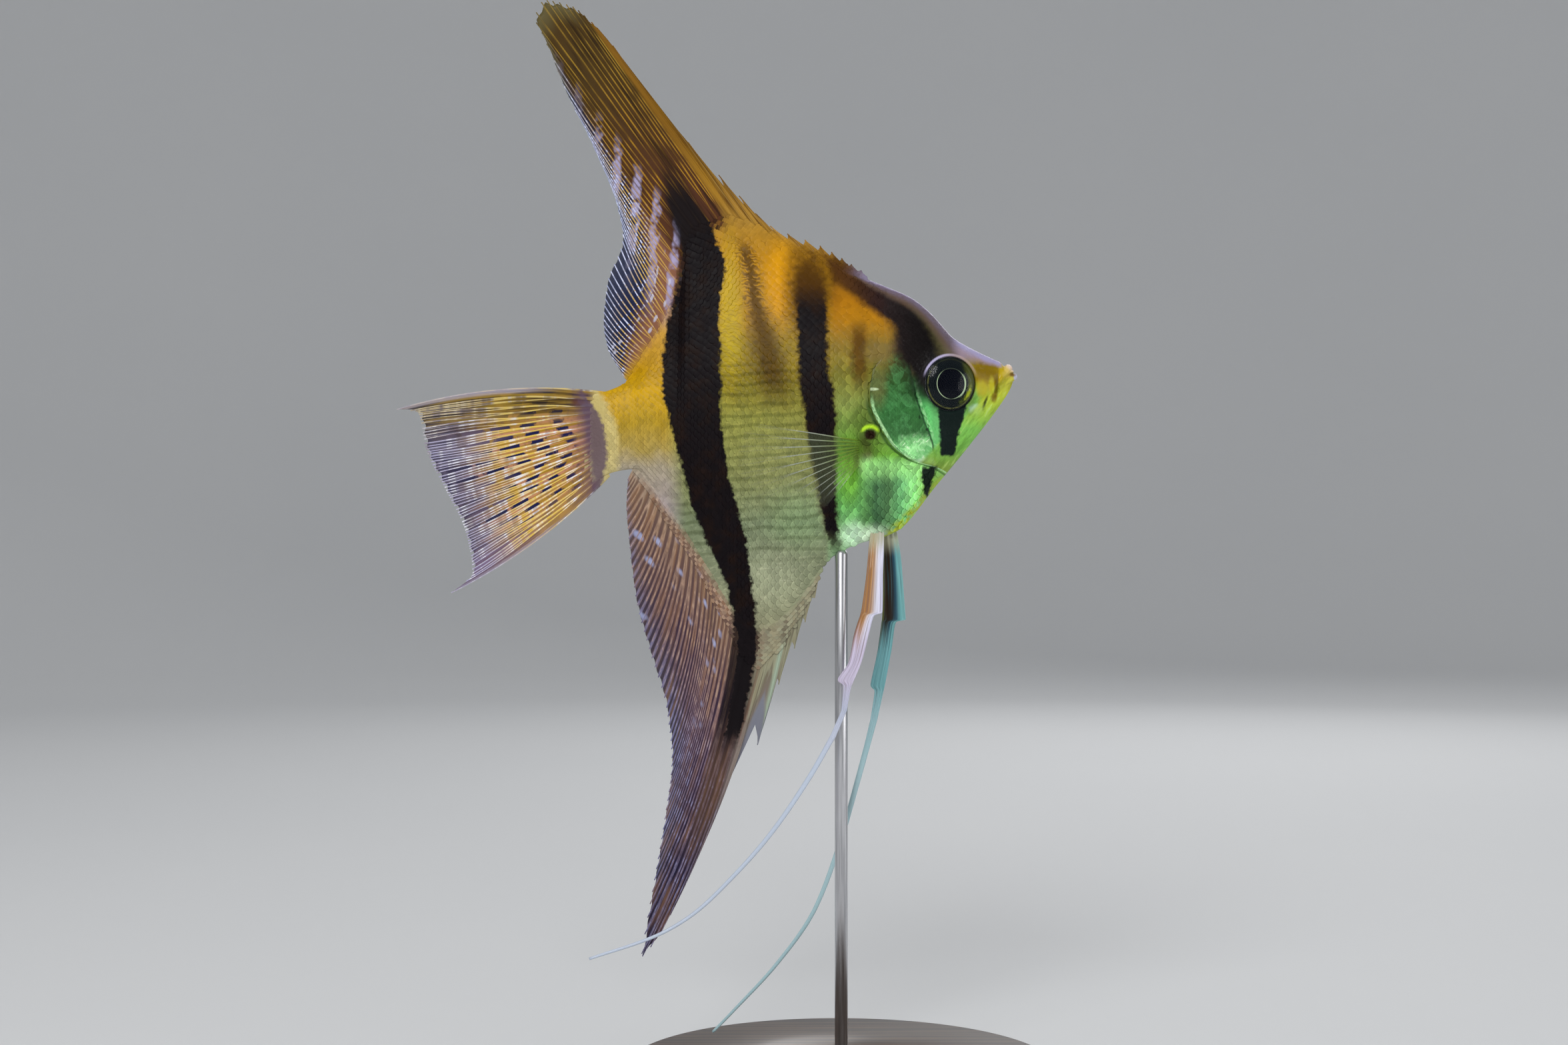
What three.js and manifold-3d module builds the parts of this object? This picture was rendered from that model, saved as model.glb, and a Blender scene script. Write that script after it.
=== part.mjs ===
// A freshwater angelfish as a life-size display model, held over a round base by one rod.
// Millimetres, +Z up. The snout points to +X and the fish's left side to +Y.
// The origin is the centre of the base's underside.

import * as THREE from "three";
import { mergeVertices } from "three/addons/utils/BufferGeometryUtils.js";
import Module from "manifold-3d";

const wasm = await Module();
wasm.setup();

// ---- Driving dimensions ----------------------------------------------------------------

const GAP = 0.3; // between pieces that touch
const TAIL_END = -48.5; // where the fan of the tail fin begins
const SNOUT_END = 34.8;
const SPINE_EDGE = 0.46; // half thickness of the flesh where a fin grows out of it
const BARE_EDGE = 0.25; // the same along the forehead, chin and peduncle
const LOBE_TIP = 0.27; // half thickness of a fin at its rim

const EYE = { x: 21.7, z: 144.0, side: 5.1, radius: 5.25, tall: 1.06, dome: 1.5, depth: 3.1, yaw: 11 };
const COVER = { thick: 0.9, proud: 0.25 }; // a gill cover
const STAND = { radius: 44, height: 7, bevel: 1, rodRadius: 1.3, socket: 4 };

// Along the fish, as [x, value]. The profiles are heights over the floor.
const TOP_PROFILE = [
  [-48.5, 142.6], [-45.5, 143.6], [-42.7, 145.3], [-39.2, 149.9], [-35.6, 155.4], [-32.9, 162],
  [-31.8, 168.5],
  [-30.6, 173.4], [-28.2, 175.3], [-24.6, 175.3], [-19.2, 174.6], [-12.8, 172.7], [-4.3, 169.2],
  [4.2, 165.9],
  [9, 164], [14.2, 161.7], [18, 158.7], [20.3, 156.2], [22.6, 153.7], [26.2, 151.5], [31.2, 149.1],
  [32.1, 148.7], [32.9, 147.9], [34.8, 147],
];
const BOTTOM_PROFILE = [
  [-48.5, 125.3], [-45.5, 126.5], [-41.7, 127], [-37.4, 122.6], [-32.7, 116.1], [-28.6, 109.6],
  [-25.2, 103.8],
  [-21, 97.6], [-17.4, 95], [-13.6, 95.8], [-9.7, 98.9], [-5.4, 105.2], [-3, 108.2], [0, 110.3], [4, 112],
  [8.5, 113.2], [11.6, 114.6], [19.3, 123.7], [26.2, 132.1], [32.4, 140.3], [34.2, 143.2], [34.8, 144.8],
];
const WIDEST_LEVEL = [
  [-48.5, 134], [-30, 134.5], [-10, 137], [8, 139], [15, 141], [22, 143.4], [30, 145], [34.8, 146],
];
const HALF_WIDTH = [
  [-48.5, 1.8], [-42, 2.6], [-36, 3.4], [-28, 4.5], [-18, 5.9], [-8, 7], [0, 7.5], [8, 7.4], [15, 6.6],
  [21.7, 5.4], [26, 4.2], [30, 3], [33, 1.8], [34.8, 0.9],
];
// How the section closes above and below its widest level: 0.5 is round, 1 and more a thin keel.
const UPPER_KEEL = [
  [-48.5, 0.65], [-42, 0.8], [-36, 1.2], [-32, 1.7], [-27, 1.6], [-20, 1.4], [2, 1.05], [12, 0.75],
  [20, 0.6], [34.8, 0.5],
];
const LOWER_KEEL = [
  [-48.5, 0.65], [-42, 0.75], [-36, 1.15], [-18, 1.4], [-6, 1.15], [4, 0.85], [12, 0.7], [34.8, 0.5],
];

// Parting lines across the flesh, as [x, z].
const GILL_LINE = [
  [10, 172], [7.2, 158], [5.4, 148], [4.7, 141], [6.2, 135], [9.6, 131], [14.5, 128.4], [22, 125.8],
  [30, 122],
];
const TAIL_LINE = [[-41.3, 156], [-42.9, 141], [-44.4, 118]];
const MOUTH_LINE = [[40, 147.2], [34.6, 145.9], [31.6, 143.4], [29.9, 140.2], [31.6, 134]];
const GILL_COVER = [
  [14.6, 148.6], [9.6, 149.2], [6.2, 145.4], [5.6, 140.4], [7.4, 135.6], [10.9, 131.8], [16.6, 129.3],
  [17.2, 134], [15, 141],
];

// Fins as key rays: [ray, base x, base z, tip x, tip z, bow as a share of the length].
const DORSAL = {
  rays: 38, spines: 12, thick: SPINE_EDGE, sway: 1.5,
  key: [
    [0, 4.9, 165, 4, 167.3, 0], [4, -1.4, 167.4, -4.3, 172.4, 0], [7, -7.6, 170, -14.4, 176.4, 0],
    [9, -11.8, 171.6, -20.7, 182.4, 0], [11, -16.3, 173, -31, 193.1, 0],
    [12, -18.6, 173.4, -49.2, 216.1, 0],
    [14, -22.5, 173.9, -54.6, 220.2, 0], [16, -26.5, 173.9, -59.8, 221.3, 0],
    [17, -28.2, 173.5, -61.6, 217.8, 0],
    [18, -29.4, 172.4, -59.9, 214, 0.01], [20, -30.6, 169, -55.7, 203.5, 0.02],
    [22, -31.4, 165.2, -50.8, 193.8, 0.03],
    [25, -32.8, 159.4, -45.4, 180.5, 0.04], [27, -34.2, 156, -44.2, 173.8, 0.04],
    [30, -36.6, 151.8, -47.2, 164.8, 0.05],
    [33, -39.2, 148.4, -48, 156.6, 0.06], [35, -40.8, 146.4, -47.2, 151.6, 0.06],
    [37, -42.3, 144.4, -44.4, 146.4, 0.06],
  ],
};
const ANAL = {
  rays: 34, spines: 6, thick: SPINE_EDGE, sway: 1.5,
  key: [
    [0, -4.4, 107.6, -5.4, 100.9, 0], [2, -7, 104, -9.5, 90.6, 0], [3, -8.5, 102, -12.7, 83.3, 0],
    [4, -10.3, 99.8, -17, 71, 0.01], [5, -12.4, 98, -25, 58.8, 0.02], [6, -14.6, 96.9, -33.3, 39.3, 0.04],
    [7, -16.6, 96.6, -37.4, 31.8, 0.04], [8, -18.4, 97.2, -40.3, 28.5, 0.04],
    [9, -19.8, 98.4, -39.2, 35.4, 0.04],
    [11, -22, 101.2, -37.4, 45.4, 0.04], [14, -24.4, 104.6, -35.4, 57.5, 0.04],
    [17, -26.8, 108.6, -34.2, 68, 0.045],
    [20, -29.2, 112.6, -35.2, 78, 0.045], [23, -31.8, 116.6, -38.6, 89.8, 0.045],
    [26, -34.6, 120.4, -41.4, 100.4, 0.045],
    [29, -37.6, 124.2, -42.8, 112, 0.04], [31, -39.6, 126.4, -43.4, 119.6, 0.03],
    [33, -41.4, 128.2, -43.2, 124.8, 0],
  ],
};
const CAUDAL = {
  rays: 17, spines: 0, thick: 0.95, sway: 0.9,
  key: [
    [0, -47, 142.3, -89.9, 139.1, -0.055], [1, -47, 141, -85.8, 138.8, -0.03],
    [4, -47, 137.6, -83.9, 131.5, 0],
    [8, -47, 133.6, -79.6, 122.6, 0.01], [12, -47, 129.8, -75.6, 113.4, 0.015],
    [15, -47, 126.8, -74.3, 106, 0.02],
    [16, -47, 125.8, -78.9, 102, 0.045],
  ],
};
const PECTORAL = {
  rays: 12, length: 24, base: { x: 3.4, z: 130.2, half: 2.3, side: 7.35 }, splay: 4,
  firstTurn: 171, lastTurn: 232, thick: 0.45,
  reach: [[0, 0.84], [0.1, 0.97], [0.3, 1], [0.65, 0.84], [0.88, 0.62], [1, 0.44]],
};

// Pelvic fins, from the root down: the blade as [height, front edge x, rear edge x], the thread as [x, z].
const PELVIC_RIGHT = {
  side: -1, root: 2.3, splay: 4.2,
  blade: [
    [113.5, 8.6, 5.8], [105, 8.3, 4.9], [98.2, 8.2, 3.9], [97.5, 6.6, 3.7], [93.8, 5.5, 2.5],
    [88.2, 4, 1.4],
    [84.6, 2.5, -0.8], [83.2, 1.9, 0.4], [78.4, 1, -0.1],
  ],
  thread: [[-1.7, 73.4], [-6.5, 65.1], [-14.3, 53.8], [-22.1, 45], [-30, 37.7], [-37.1, 33.6], [-50.5, 29]],
  width: [1.1, 0.55],
};
const PELVIC_LEFT = {
  side: 1, root: 2.3, splay: 7,
  blade: [
    [114.6, 11.2, 8.2], [108, 12.3, 8.5], [102, 12.8, 8.6], [96.5, 13.2, 8.4], [95.9, 11.3, 8.3],
    [90, 10.3, 7.5],
    [83, 9, 6.1], [81.6, 8.7, 6.9], [76, 7.5, 6.1],
  ],
  thread: [[5.4, 70.4], [3.3, 62.6], [-0.6, 48.9], [-5.5, 36.2], [-12.9, 25.5], [-22.1, 15.4], [-26.3, 11]],
  width: [1.2, 0.55],
};

// ---- Curves and solids -----------------------------------------------------------------

const mix = (a, b, t) => a + (b - a) * t;
const counted = (count, value) => Array.from({ length: count }, (_, i) => value(i));
const spaced = (from, to, count) => counted(count, (i) => mix(from, to, i / (count - 1)));

// A smooth curve through [t, value] points that never overshoots them.
function through(points) {
  const slope = points.map((p, i) => {
    if (i === 0 || i === points.length - 1) return 0;
    const before = (p[1] - points[i - 1][1]) / (p[0] - points[i - 1][0]);
    const after = (points[i + 1][1] - p[1]) / (points[i + 1][0] - p[0]);
    return before * after <= 0 ? 0 : (2 * before * after) / (before + after);
  });
  const last = points.length - 1;
  slope[0] = (points[1][1] - points[0][1]) / (points[1][0] - points[0][0]);
  slope[last] = (points[last][1] - points[last - 1][1]) / (points[last][0] - points[last - 1][0]);
  return (t) => {
    let i = 0;
    while (i < last - 1 && t > points[i + 1][0]) i++;
    const span = points[i + 1][0] - points[i][0];
    const u = (Math.min(Math.max(t, points[0][0]), points[last][0]) - points[i][0]) / span;
    const rise = points[i + 1][1] - points[i][1];
    const curve = span * (slope[i] * (1 - u) - slope[i + 1] * u) + rise * (2 * u - 1);
    return points[i][1] + rise * u + u * (1 - u) * curve;
  };
}

// Each column of a table as a curve of its first column.
function columns(table) {
  return table[0].slice(1).map((_, c) => through(table.map((row) => [row[0], row[c + 1]])));
}

// A closed slab: at(u, v) gives the middle [x, y, z] and the half thickness along Y.
function slab(us, vs, at) {
  const points = [];
  const faces = [];
  const rows = vs.length;
  us.forEach((u) => vs.forEach((v) => {
    const [x, y, z, half] = at(u, v);
    points.push(x, y - half, z, x, y + half, z);
  }));
  const corner = (i, j, side) => 2 * (i * rows + j) + side;
  const quad = (a, b, c, d) => faces.push(a, b, c, a, c, d);
  for (let i = 0; i < us.length - 1; i++)
    for (let j = 0; j < rows - 1; j++) {
      quad(corner(i, j, 0), corner(i + 1, j, 0), corner(i + 1, j + 1, 0), corner(i, j + 1, 0));
      quad(corner(i, j, 1), corner(i, j + 1, 1), corner(i + 1, j + 1, 1), corner(i + 1, j, 1));
    }
  for (let i = 0; i < us.length - 1; i++) {
    quad(corner(i, 0, 0), corner(i, 0, 1), corner(i + 1, 0, 1), corner(i + 1, 0, 0));
    const last = rows - 1;
    quad(corner(i, last, 1), corner(i, last, 0), corner(i + 1, last, 0), corner(i + 1, last, 1));
  }
  for (let j = 0; j < rows - 1; j++) {
    const end = us.length - 1;
    quad(corner(0, j, 1), corner(0, j, 0), corner(0, j + 1, 0), corner(0, j + 1, 1));
    quad(corner(end, j, 0), corner(end, j, 1), corner(end, j + 1, 1), corner(end, j + 1, 0));
  }
  const corners = Float32Array.from(points);
  const made = solidOf(corners, Uint32Array.from(faces));
  return made.volume() > 0 ? made : solidOf(corners, Uint32Array.from(faces).reverse());
}

function solidOf(vertProperties, triVerts) {
  return new wasm.Manifold(new wasm.Mesh({ numProp: 3, vertProperties, triVerts }));
}

function solidOfGeometry(geometry) {
  const plain = geometry.clone();
  plain.deleteAttribute("normal");
  plain.deleteAttribute("uv");
  const merged = mergeVertices(plain, 1e-4);
  return solidOf(merged.attributes.position.array, new Uint32Array(merged.index.array));
}

// A wall along a line of [x, z] points, standing right across the fish.
function wall(line, thickness) {
  const route = new THREE.SplineCurve(line.map((p) => new THREE.Vector2(...p)));
  return slab(spaced(0, 1, 3 * line.length), [-0.5, 0.5], (t, v) => {
    const p = route.getPoint(t);
    const along = route.getTangent(t);
    return [p.x - along.y * v * thickness, 0, p.y + along.x * v * thickness, 20];
  });
}

// A prism across the fish over a smooth closed outline, grown outwards from its middle.
function prism(outline, grow) {
  const corners = outline.map((p) => new THREE.Vector3(p[0], p[1], 0));
  const middle = corners.reduce((m, p) => m.add(p), new THREE.Vector3()).divideScalar(corners.length);
  const grown = corners.map((p) => {
    const out = p.sub(middle);
    return out.setLength(out.length() + grow).add(middle);
  });
  const smooth = new THREE.CatmullRomCurve3(grown, true).getPoints(3 * grown.length - 1).slice(0, -1);
  const shape = new THREE.Shape(smooth.map((p) => new THREE.Vector2(p.x, p.y)));
  const made = new THREE.ExtrudeGeometry(shape, { depth: 40, bevelEnabled: false });
  return solidOfGeometry(made.rotateX(Math.PI / 2).translate(0, 20, 0));
}

const largest = (solid) => solid.decompose().sort((a, b) => b.volume() - a.volume())[0];

function mesh(name, solid, color, roughness, metalness = 0) {
  const { vertProperties, triVerts } = solid.getMesh();
  const geometry = new THREE.BufferGeometry();
  geometry.setAttribute("position", new THREE.BufferAttribute(vertProperties, 3));
  geometry.setIndex(new THREE.BufferAttribute(triVerts, 1));
  geometry.computeVertexNormals();
  const made = new THREE.Mesh(geometry, new THREE.MeshStandardMaterial({ color, roughness, metalness }));
  made.name = name;
  return made;
}

// ---- Flesh -----------------------------------------------------------------------------

const [top, bottom, level, width, upperKeel, lowerKeel] =
  [TOP_PROFILE, BOTTOM_PROFILE, WIDEST_LEVEL, HALF_WIDTH, UPPER_KEEL, LOWER_KEEL].map(through);
const finEdge = through([
  [TAIL_END, BARE_EDGE], [-44, 0.5], [-41, SPINE_EDGE],
  [1, SPINE_EDGE], [6, BARE_EDGE], [SNOUT_END, BARE_EDGE],
]);

// The whole fish without fins, grown or shrunk by some amount.
function flesh(grow) {
  const stations = [
    ...spaced(TAIL_END, -35, 6), ...spaced(-33.6, -30, 5), ...spaced(-28, 27, 21), 29.5, 31.5, 33, 34.1,
    SNOUT_END,
  ];
  const angles = spaced(-Math.PI / 2, Math.PI / 2, 13);
  return slab(stations, angles, (x, angle) => {
    const s = Math.sin(angle);
    const [end, keel] = s > 0 ? [top(x) + grow, upperKeel(x)] : [bottom(x) - grow, lowerKeel(x)];
    const edge = finEdge(x);
    const half = edge + grow + (width(x) - edge) * Math.cos(angle) ** (2 * keel);
    const past = x === TAIL_END ? -grow : x === SNOUT_END ? grow : 0;
    return [x + past, 0, mix(level(x), end, Math.abs(s)), half];
  });
}

// An eyeball: a shallow dome outside and a deeper one inside, sunk to its rim.
function eyeball(side, grow) {
  const { x, z, side: out, radius, tall, dome, depth, yaw } = EYE;
  const profile = spaced(0, Math.PI, 11).map((angle) => {
    const up = Math.cos(angle);
    return new THREE.Vector2(Math.sin(angle) * (radius + grow), -up * ((up > 0 ? depth : dome) + grow));
  });
  profile[0].x = 0;
  profile[10].x = 0;
  const ball = new THREE.LatheGeometry(profile, 16);
  if (side < 0) ball.rotateZ(Math.PI);
  ball.scale(1, 1, tall).rotateZ(THREE.MathUtils.degToRad(-side * yaw)).translate(x, side * out, z);
  return solidOfGeometry(ball);
}

const whole = flesh(0);
const nearFlesh = flesh(GAP);
const sockets = [1, -1].map((side) => eyeball(side, GAP));
const coverPockets = prism(GILL_COVER, GAP).subtract(flesh(-COVER.thick - GAP));
const partings = [GILL_LINE, TAIL_LINE, MOUTH_LINE].map((line) => wall(line, GAP));
const cuts = [...partings, ...sockets, coverPockets];
const fleshPieces = cuts
  .reduce((left, cut) => left.subtract(cut), whole)
  .decompose()
  .filter((piece) => piece.volume() > 1)
  .map((piece) => {
    const box = piece.boundingBox();
    return { piece, middle: (box.min[0] + box.max[0]) / 2 };
  })
  .sort((a, b) => a.middle - b.middle);
const [tailBase, trunk, head, lowerJaw] = fleshPieces.map((found) => found.piece);

const covers = prism(GILL_COVER, 0)
  .intersect(flesh(COVER.proud))
  .subtract(flesh(-COVER.thick))
  .subtract(sockets[0])
  .subtract(sockets[1])
  .decompose()
  .sort((a, b) => a.boundingBox().min[1] - b.boundingBox().min[1]);

// ---- Fins ------------------------------------------------------------------------------

// A point on a bowed ray, v from 0 at its base to 1 at its tip.
function onRay([baseX, baseZ, tipX, tipZ, bow], v) {
  const dx = tipX - baseX;
  const dz = tipZ - baseZ;
  const push = 4 * bow * v * (1 - v);
  return [baseX + dx * v - dz * push, baseZ + dz * v + dx * push];
}

// How much of a ray's end the skin between it and the next leaves free.
function notch(fin, ray) {
  if (ray < fin.spines - 1) return 0.3;
  return fin.spines ? Math.max(0, 0.026 - 0.004 * (ray - fin.spines)) : 0;
}

// A fin in the fish's middle plane, with a column at each ray and in each deep notch.
function medianFin(fin, rows) {
  const curves = columns(fin.key);
  const stops = counted(2 * fin.rays - 1, (i) => i / 2)
    .filter((ray) => Number.isInteger(ray) || notch(fin, Math.floor(ray)) > 0);
  const sheet = slab(stops, spaced(0, 1, rows), (ray, v) => {
    const reach = Number.isInteger(ray) ? 1 : 1 - notch(fin, Math.floor(ray));
    const [x, z] = onRay(curves.map((curve) => curve(ray)), v * reach);
    const y = fin.sway * v * v * Math.sin((4 * Math.PI * ray) / fin.rays);
    return [x, y, z, mix(fin.thick, LOBE_TIP, Math.sqrt(v))];
  });
  return largest(sheet.subtract(nearFlesh));
}

// A fan of rays that stands away from the flank.
function pectoralFin(side) {
  const { rays, length, base, splay, firstTurn, lastTurn, thick } = PECTORAL;
  const share = through(PECTORAL.reach);
  return slab(spaced(0, 1, rays), spaced(0, 1, 6), (u, v) => {
    const turn = THREE.MathUtils.degToRad(mix(firstTurn, lastTurn, u));
    const reach = v * length * share(u);
    return [
      base.x + Math.cos(turn) * reach,
      side * (base.side + splay * v * (1 - 0.35 * v)),
      base.z + base.half * (1 - 2 * u) + Math.sin(turn) * reach,
      mix(thick, LOBE_TIP, v),
    ];
  });
}

// A blade that narrows by steps into one long thread.
function pelvicFin({ side, root, splay, blade, thread, width: [wide, fine] }) {
  const [front, rear] = [1, 2].map((c) => blade.map((row) => [row[c], row[0]]));
  const tip = thread.at(-1)[1];
  const line = new THREE.SplineCurve(thread.map((p) => new THREE.Vector2(...p)));
  const along = spaced(0, 1, 14);
  const threadEdge = (way) => along.map((t) => {
    const p = line.getPoint(t);
    const heading = line.getTangent(t);
    const half = (way * mix(wide, fine, t)) / 2;
    return [p.x - heading.y * half, p.y + heading.x * half];
  });
  const edges = [[...front, ...threadEdge(1)], [...rear, ...threadEdge(-1)]];
  return slab([...edges[0].keys()], [0, 0.5, 1], (row, v) => {
    const [a, b] = edges.map((edge) => edge[row]);
    const z = mix(a[1], b[1], v);
    const down = (blade[0][0] - z) / (blade[0][0] - tip);
    return [mix(a[0], b[0], v), side * (root + splay * down), z, v === 0.5 ? 0.4 : LOBE_TIP];
  });
}

// ---- Stand -----------------------------------------------------------------------------

function lathe(profile, segments) {
  const turned = new THREE.LatheGeometry(profile.map((p) => new THREE.Vector2(...p)), segments);
  return solidOfGeometry(turned.rotateX(Math.PI / 2));
}

function standBase() {
  const { radius, height, bevel, rodRadius, socket } = STAND;
  return lathe([
    [0, 0], [radius, 0], [radius, height - bevel], [radius - bevel, height], [rodRadius + GAP, height],
    [rodRadius + GAP, height - socket], [0, height - socket],
  ], 40);
}

// The rod's upper end is notched over the belly's keel.
function standRod() {
  const { height, rodRadius, socket } = STAND;
  const foot = height - socket + GAP;
  const reach = bottom(0) + 5;
  const rod = new THREE.CylinderGeometry(rodRadius, rodRadius, reach - foot, 16);
  rod.rotateX(Math.PI / 2).translate(0, 0, (reach + foot) / 2);
  const cut = solidOfGeometry(rod).subtract(nearFlesh).decompose();
  return cut.sort((a, b) => a.boundingBox().min[2] - b.boundingBox().min[2])[0];
}

// ---- The model -------------------------------------------------------------------------

const GOLD = 0xb98a2c;
const OLIVE = 0x8d8a55;
const GREEN = 0x4f9a63;
const FIN = 0xa08468;
const MIST = 0x9fb9b4;

const fish = new THREE.Group();
fish.add(mesh("head", head, GREEN, 0.4));
fish.add(mesh("lower_jaw", lowerJaw, GOLD, 0.4));
fish.add(mesh("trunk", trunk, OLIVE, 0.4));
fish.add(mesh("tail_base", tailBase, GOLD, 0.4));
fish.add(mesh("gill_cover_right", covers[0], GREEN, 0.35));
fish.add(mesh("gill_cover_left", covers[1], GREEN, 0.35));
fish.add(mesh("dorsal_fin", medianFin(DORSAL, 5), FIN, 0.45));
fish.add(mesh("anal_fin", medianFin(ANAL, 5), FIN, 0.45));
fish.add(mesh("caudal_fin", medianFin(CAUDAL, 6), FIN, 0.45));
for (const [word, side, pelvic] of [["left", 1, PELVIC_LEFT], ["right", -1, PELVIC_RIGHT]]) {
  fish.add(mesh(`eye_${word}`, eyeball(side, 0), 0x0c0d12, 0.08));
  fish.add(mesh(`pectoral_fin_${word}`, largest(pectoralFin(side).subtract(nearFlesh)), MIST, 0.4));
  fish.add(mesh(`pelvic_fin_${word}`, largest(pelvicFin(pelvic).subtract(nearFlesh)), MIST, 0.4));
}
fish.add(mesh("stand_base", standBase(), 0x2a211b, 0.35));
fish.add(mesh("stand_rod", standRod(), 0xb8babd, 0.3, 1));

export default fish;
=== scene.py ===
"""A freshwater angelfish on its display stand: one skin, its scales, rayed fins, eyes and a plain stand."""

import math

import bmesh
import bpy
import numpy as np
from mathutils import Matrix, Vector, kdtree


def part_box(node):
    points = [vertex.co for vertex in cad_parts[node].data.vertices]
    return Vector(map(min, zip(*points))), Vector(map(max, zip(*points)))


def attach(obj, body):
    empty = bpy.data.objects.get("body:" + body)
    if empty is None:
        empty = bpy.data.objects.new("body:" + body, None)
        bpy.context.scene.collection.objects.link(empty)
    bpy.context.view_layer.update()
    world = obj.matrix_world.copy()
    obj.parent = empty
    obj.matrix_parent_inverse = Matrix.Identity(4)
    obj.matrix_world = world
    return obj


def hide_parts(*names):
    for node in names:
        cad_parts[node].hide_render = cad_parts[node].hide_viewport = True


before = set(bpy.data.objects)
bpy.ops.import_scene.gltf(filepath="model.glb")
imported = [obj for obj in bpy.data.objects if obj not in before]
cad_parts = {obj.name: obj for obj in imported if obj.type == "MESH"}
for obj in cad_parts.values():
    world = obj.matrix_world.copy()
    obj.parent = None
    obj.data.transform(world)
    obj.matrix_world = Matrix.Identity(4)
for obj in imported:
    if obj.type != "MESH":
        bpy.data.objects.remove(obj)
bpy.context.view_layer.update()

MM = 0.001  # the fish and its stand are given in millimetres; meshes, room and camera are in metres

# ---- The fish's form --------------------------------------------------------------------

SKIN_DEPTH = 0.12  # how far the skin lies inside the solids, which the scales fill
TAIL_END = -52.0  # the skin runs out over the root of the tail fin
SNOUT_END = 34.8
SPINE_EDGE = 0.46  # half the body's thickness along its edge, at the root of a fin
BARE_EDGE = 0.25  # and where no fin stands
FIN_RIM = 0.09  # half thickness of the fins' skin at its edge

# The eye's centre, its distance from the middle plane, its height as a share of its length, and the
# angle in degrees by which it looks ahead.
EYE = {"x": 21.7, "z": 144.0, "side": 5.1, "tall": 1.06, "yaw": 11.0}

TOP_PROFILE = [
    (-52, 142.1), (-48.5, 142.6), (-45.5, 143.6), (-42.7, 145.3), (-39.2, 149.9), (-35.6, 155.4),
    (-32.9, 162), (-31.8, 168.5), (-30.6, 173.4), (-28.2, 175.3), (-24.6, 175.3), (-19.2, 174.6),
    (-12.8, 172.7), (-4.3, 169.2), (4.2, 165.9), (9, 164), (14.2, 161.7), (18, 158.7), (20.3, 156.2),
    (22.6, 153.7), (26.2, 151.5), (31.2, 149.1), (32.1, 148.7), (32.9, 147.9), (34.8, 147),
]
BOTTOM_PROFILE = [
    (-52, 121.4), (-48.5, 125.3), (-45.5, 126.5), (-41.7, 127), (-37.4, 122.6), (-32.7, 116.1),
    (-28.6, 109.6), (-25.2, 103.8), (-21, 97.6), (-17.4, 95), (-13.6, 95.8), (-9.7, 98.9), (-5.4, 105.2),
    (-3, 108.2), (0, 110.3), (4, 112), (8.5, 113.2), (11.6, 114.6), (19.3, 123.7), (26.2, 132.1),
    (32.4, 140.3), (34.2, 143.2), (34.8, 144.8),
]
WIDEST_LEVEL = [
    (-52, 133), (-48.5, 134), (-30, 134.5), (-10, 137), (8, 139), (15, 141), (22, 143.4), (30, 145),
    (34.8, 146),
]
HALF_WIDTH = [
    (-52, 0.12), (-51, 0.2), (-49.6, 0.9), (-48, 1.7), (-42, 2.6), (-36, 3.4), (-28, 4.5), (-18, 5.9),
    (-8, 7), (0, 7.5), (8, 7.4), (15, 6.6), (21.7, 5.4), (26, 4.2), (30, 3), (33, 1.8), (34.8, 0.9),
]
UPPER_KEEL = [
    (-52, 0.6), (-42, 0.8), (-36, 1.2), (-32, 1.7), (-27, 1.6), (-20, 1.4), (2, 1.05), (12, 0.75), (20, 0.6),
    (34.8, 0.5),
]
LOWER_KEEL = [
    (-52, 0.6), (-42, 0.75), (-36, 1.15), (-18, 1.4), (-6, 1.15), (4, 0.85), (12, 0.7), (34.8, 0.5),
]
ROOT_EDGE = [
    (-52, 0.12), (-50, 0.2), (-44, 0.5), (-41, SPINE_EDGE), (1, SPINE_EDGE), (6, BARE_EDGE),
    (34.8, BARE_EDGE),
]

# Lines on the flank as (x, z): the gill cover's free edge, the fold before it, the mouth and the folds
# round it. Then two single places.
GILL_EDGE = [
    (9.2, 150.5), (6.6, 147), (5.7, 143), (5.9, 139.2), (6.9, 136.8), (8.2, 134.4), (9.8, 131.9),
    (12.2, 129.8), (15, 128.3), (18.9, 127.2), (22.6, 126.8),
]
CHEEK_FOLD = [(14.3, 147), (14.7, 142), (16, 138.6), (17.4, 135.6), (18.4, 132.4), (18.7, 128.6)]
MOUTH_GAP = [(35.6, 146.5), (34.2, 146.2), (32.9, 145.1), (31.8, 143.7), (31.3, 142.6)]
LIP_FOLD = [(31.8, 147), (31.6, 144.5), (31.4, 142.2), (30.9, 141.1), (30.3, 141.5), (30, 142.8), (29.8, 144)]
CHEEK_SLIT = [(29.3, 141.3), (28.9, 140.3), (28.5, 139.3)]
CHIN_FOLD = [(30.2, 140.3), (27.6, 137.6), (24.2, 133.6), (20.8, 129.8)]
NOSTRIL = (28.2, 148.1)
FIN_PIT = (5.6, 133.7)  # the hollow behind the gill cover, over the pectoral fin

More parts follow.
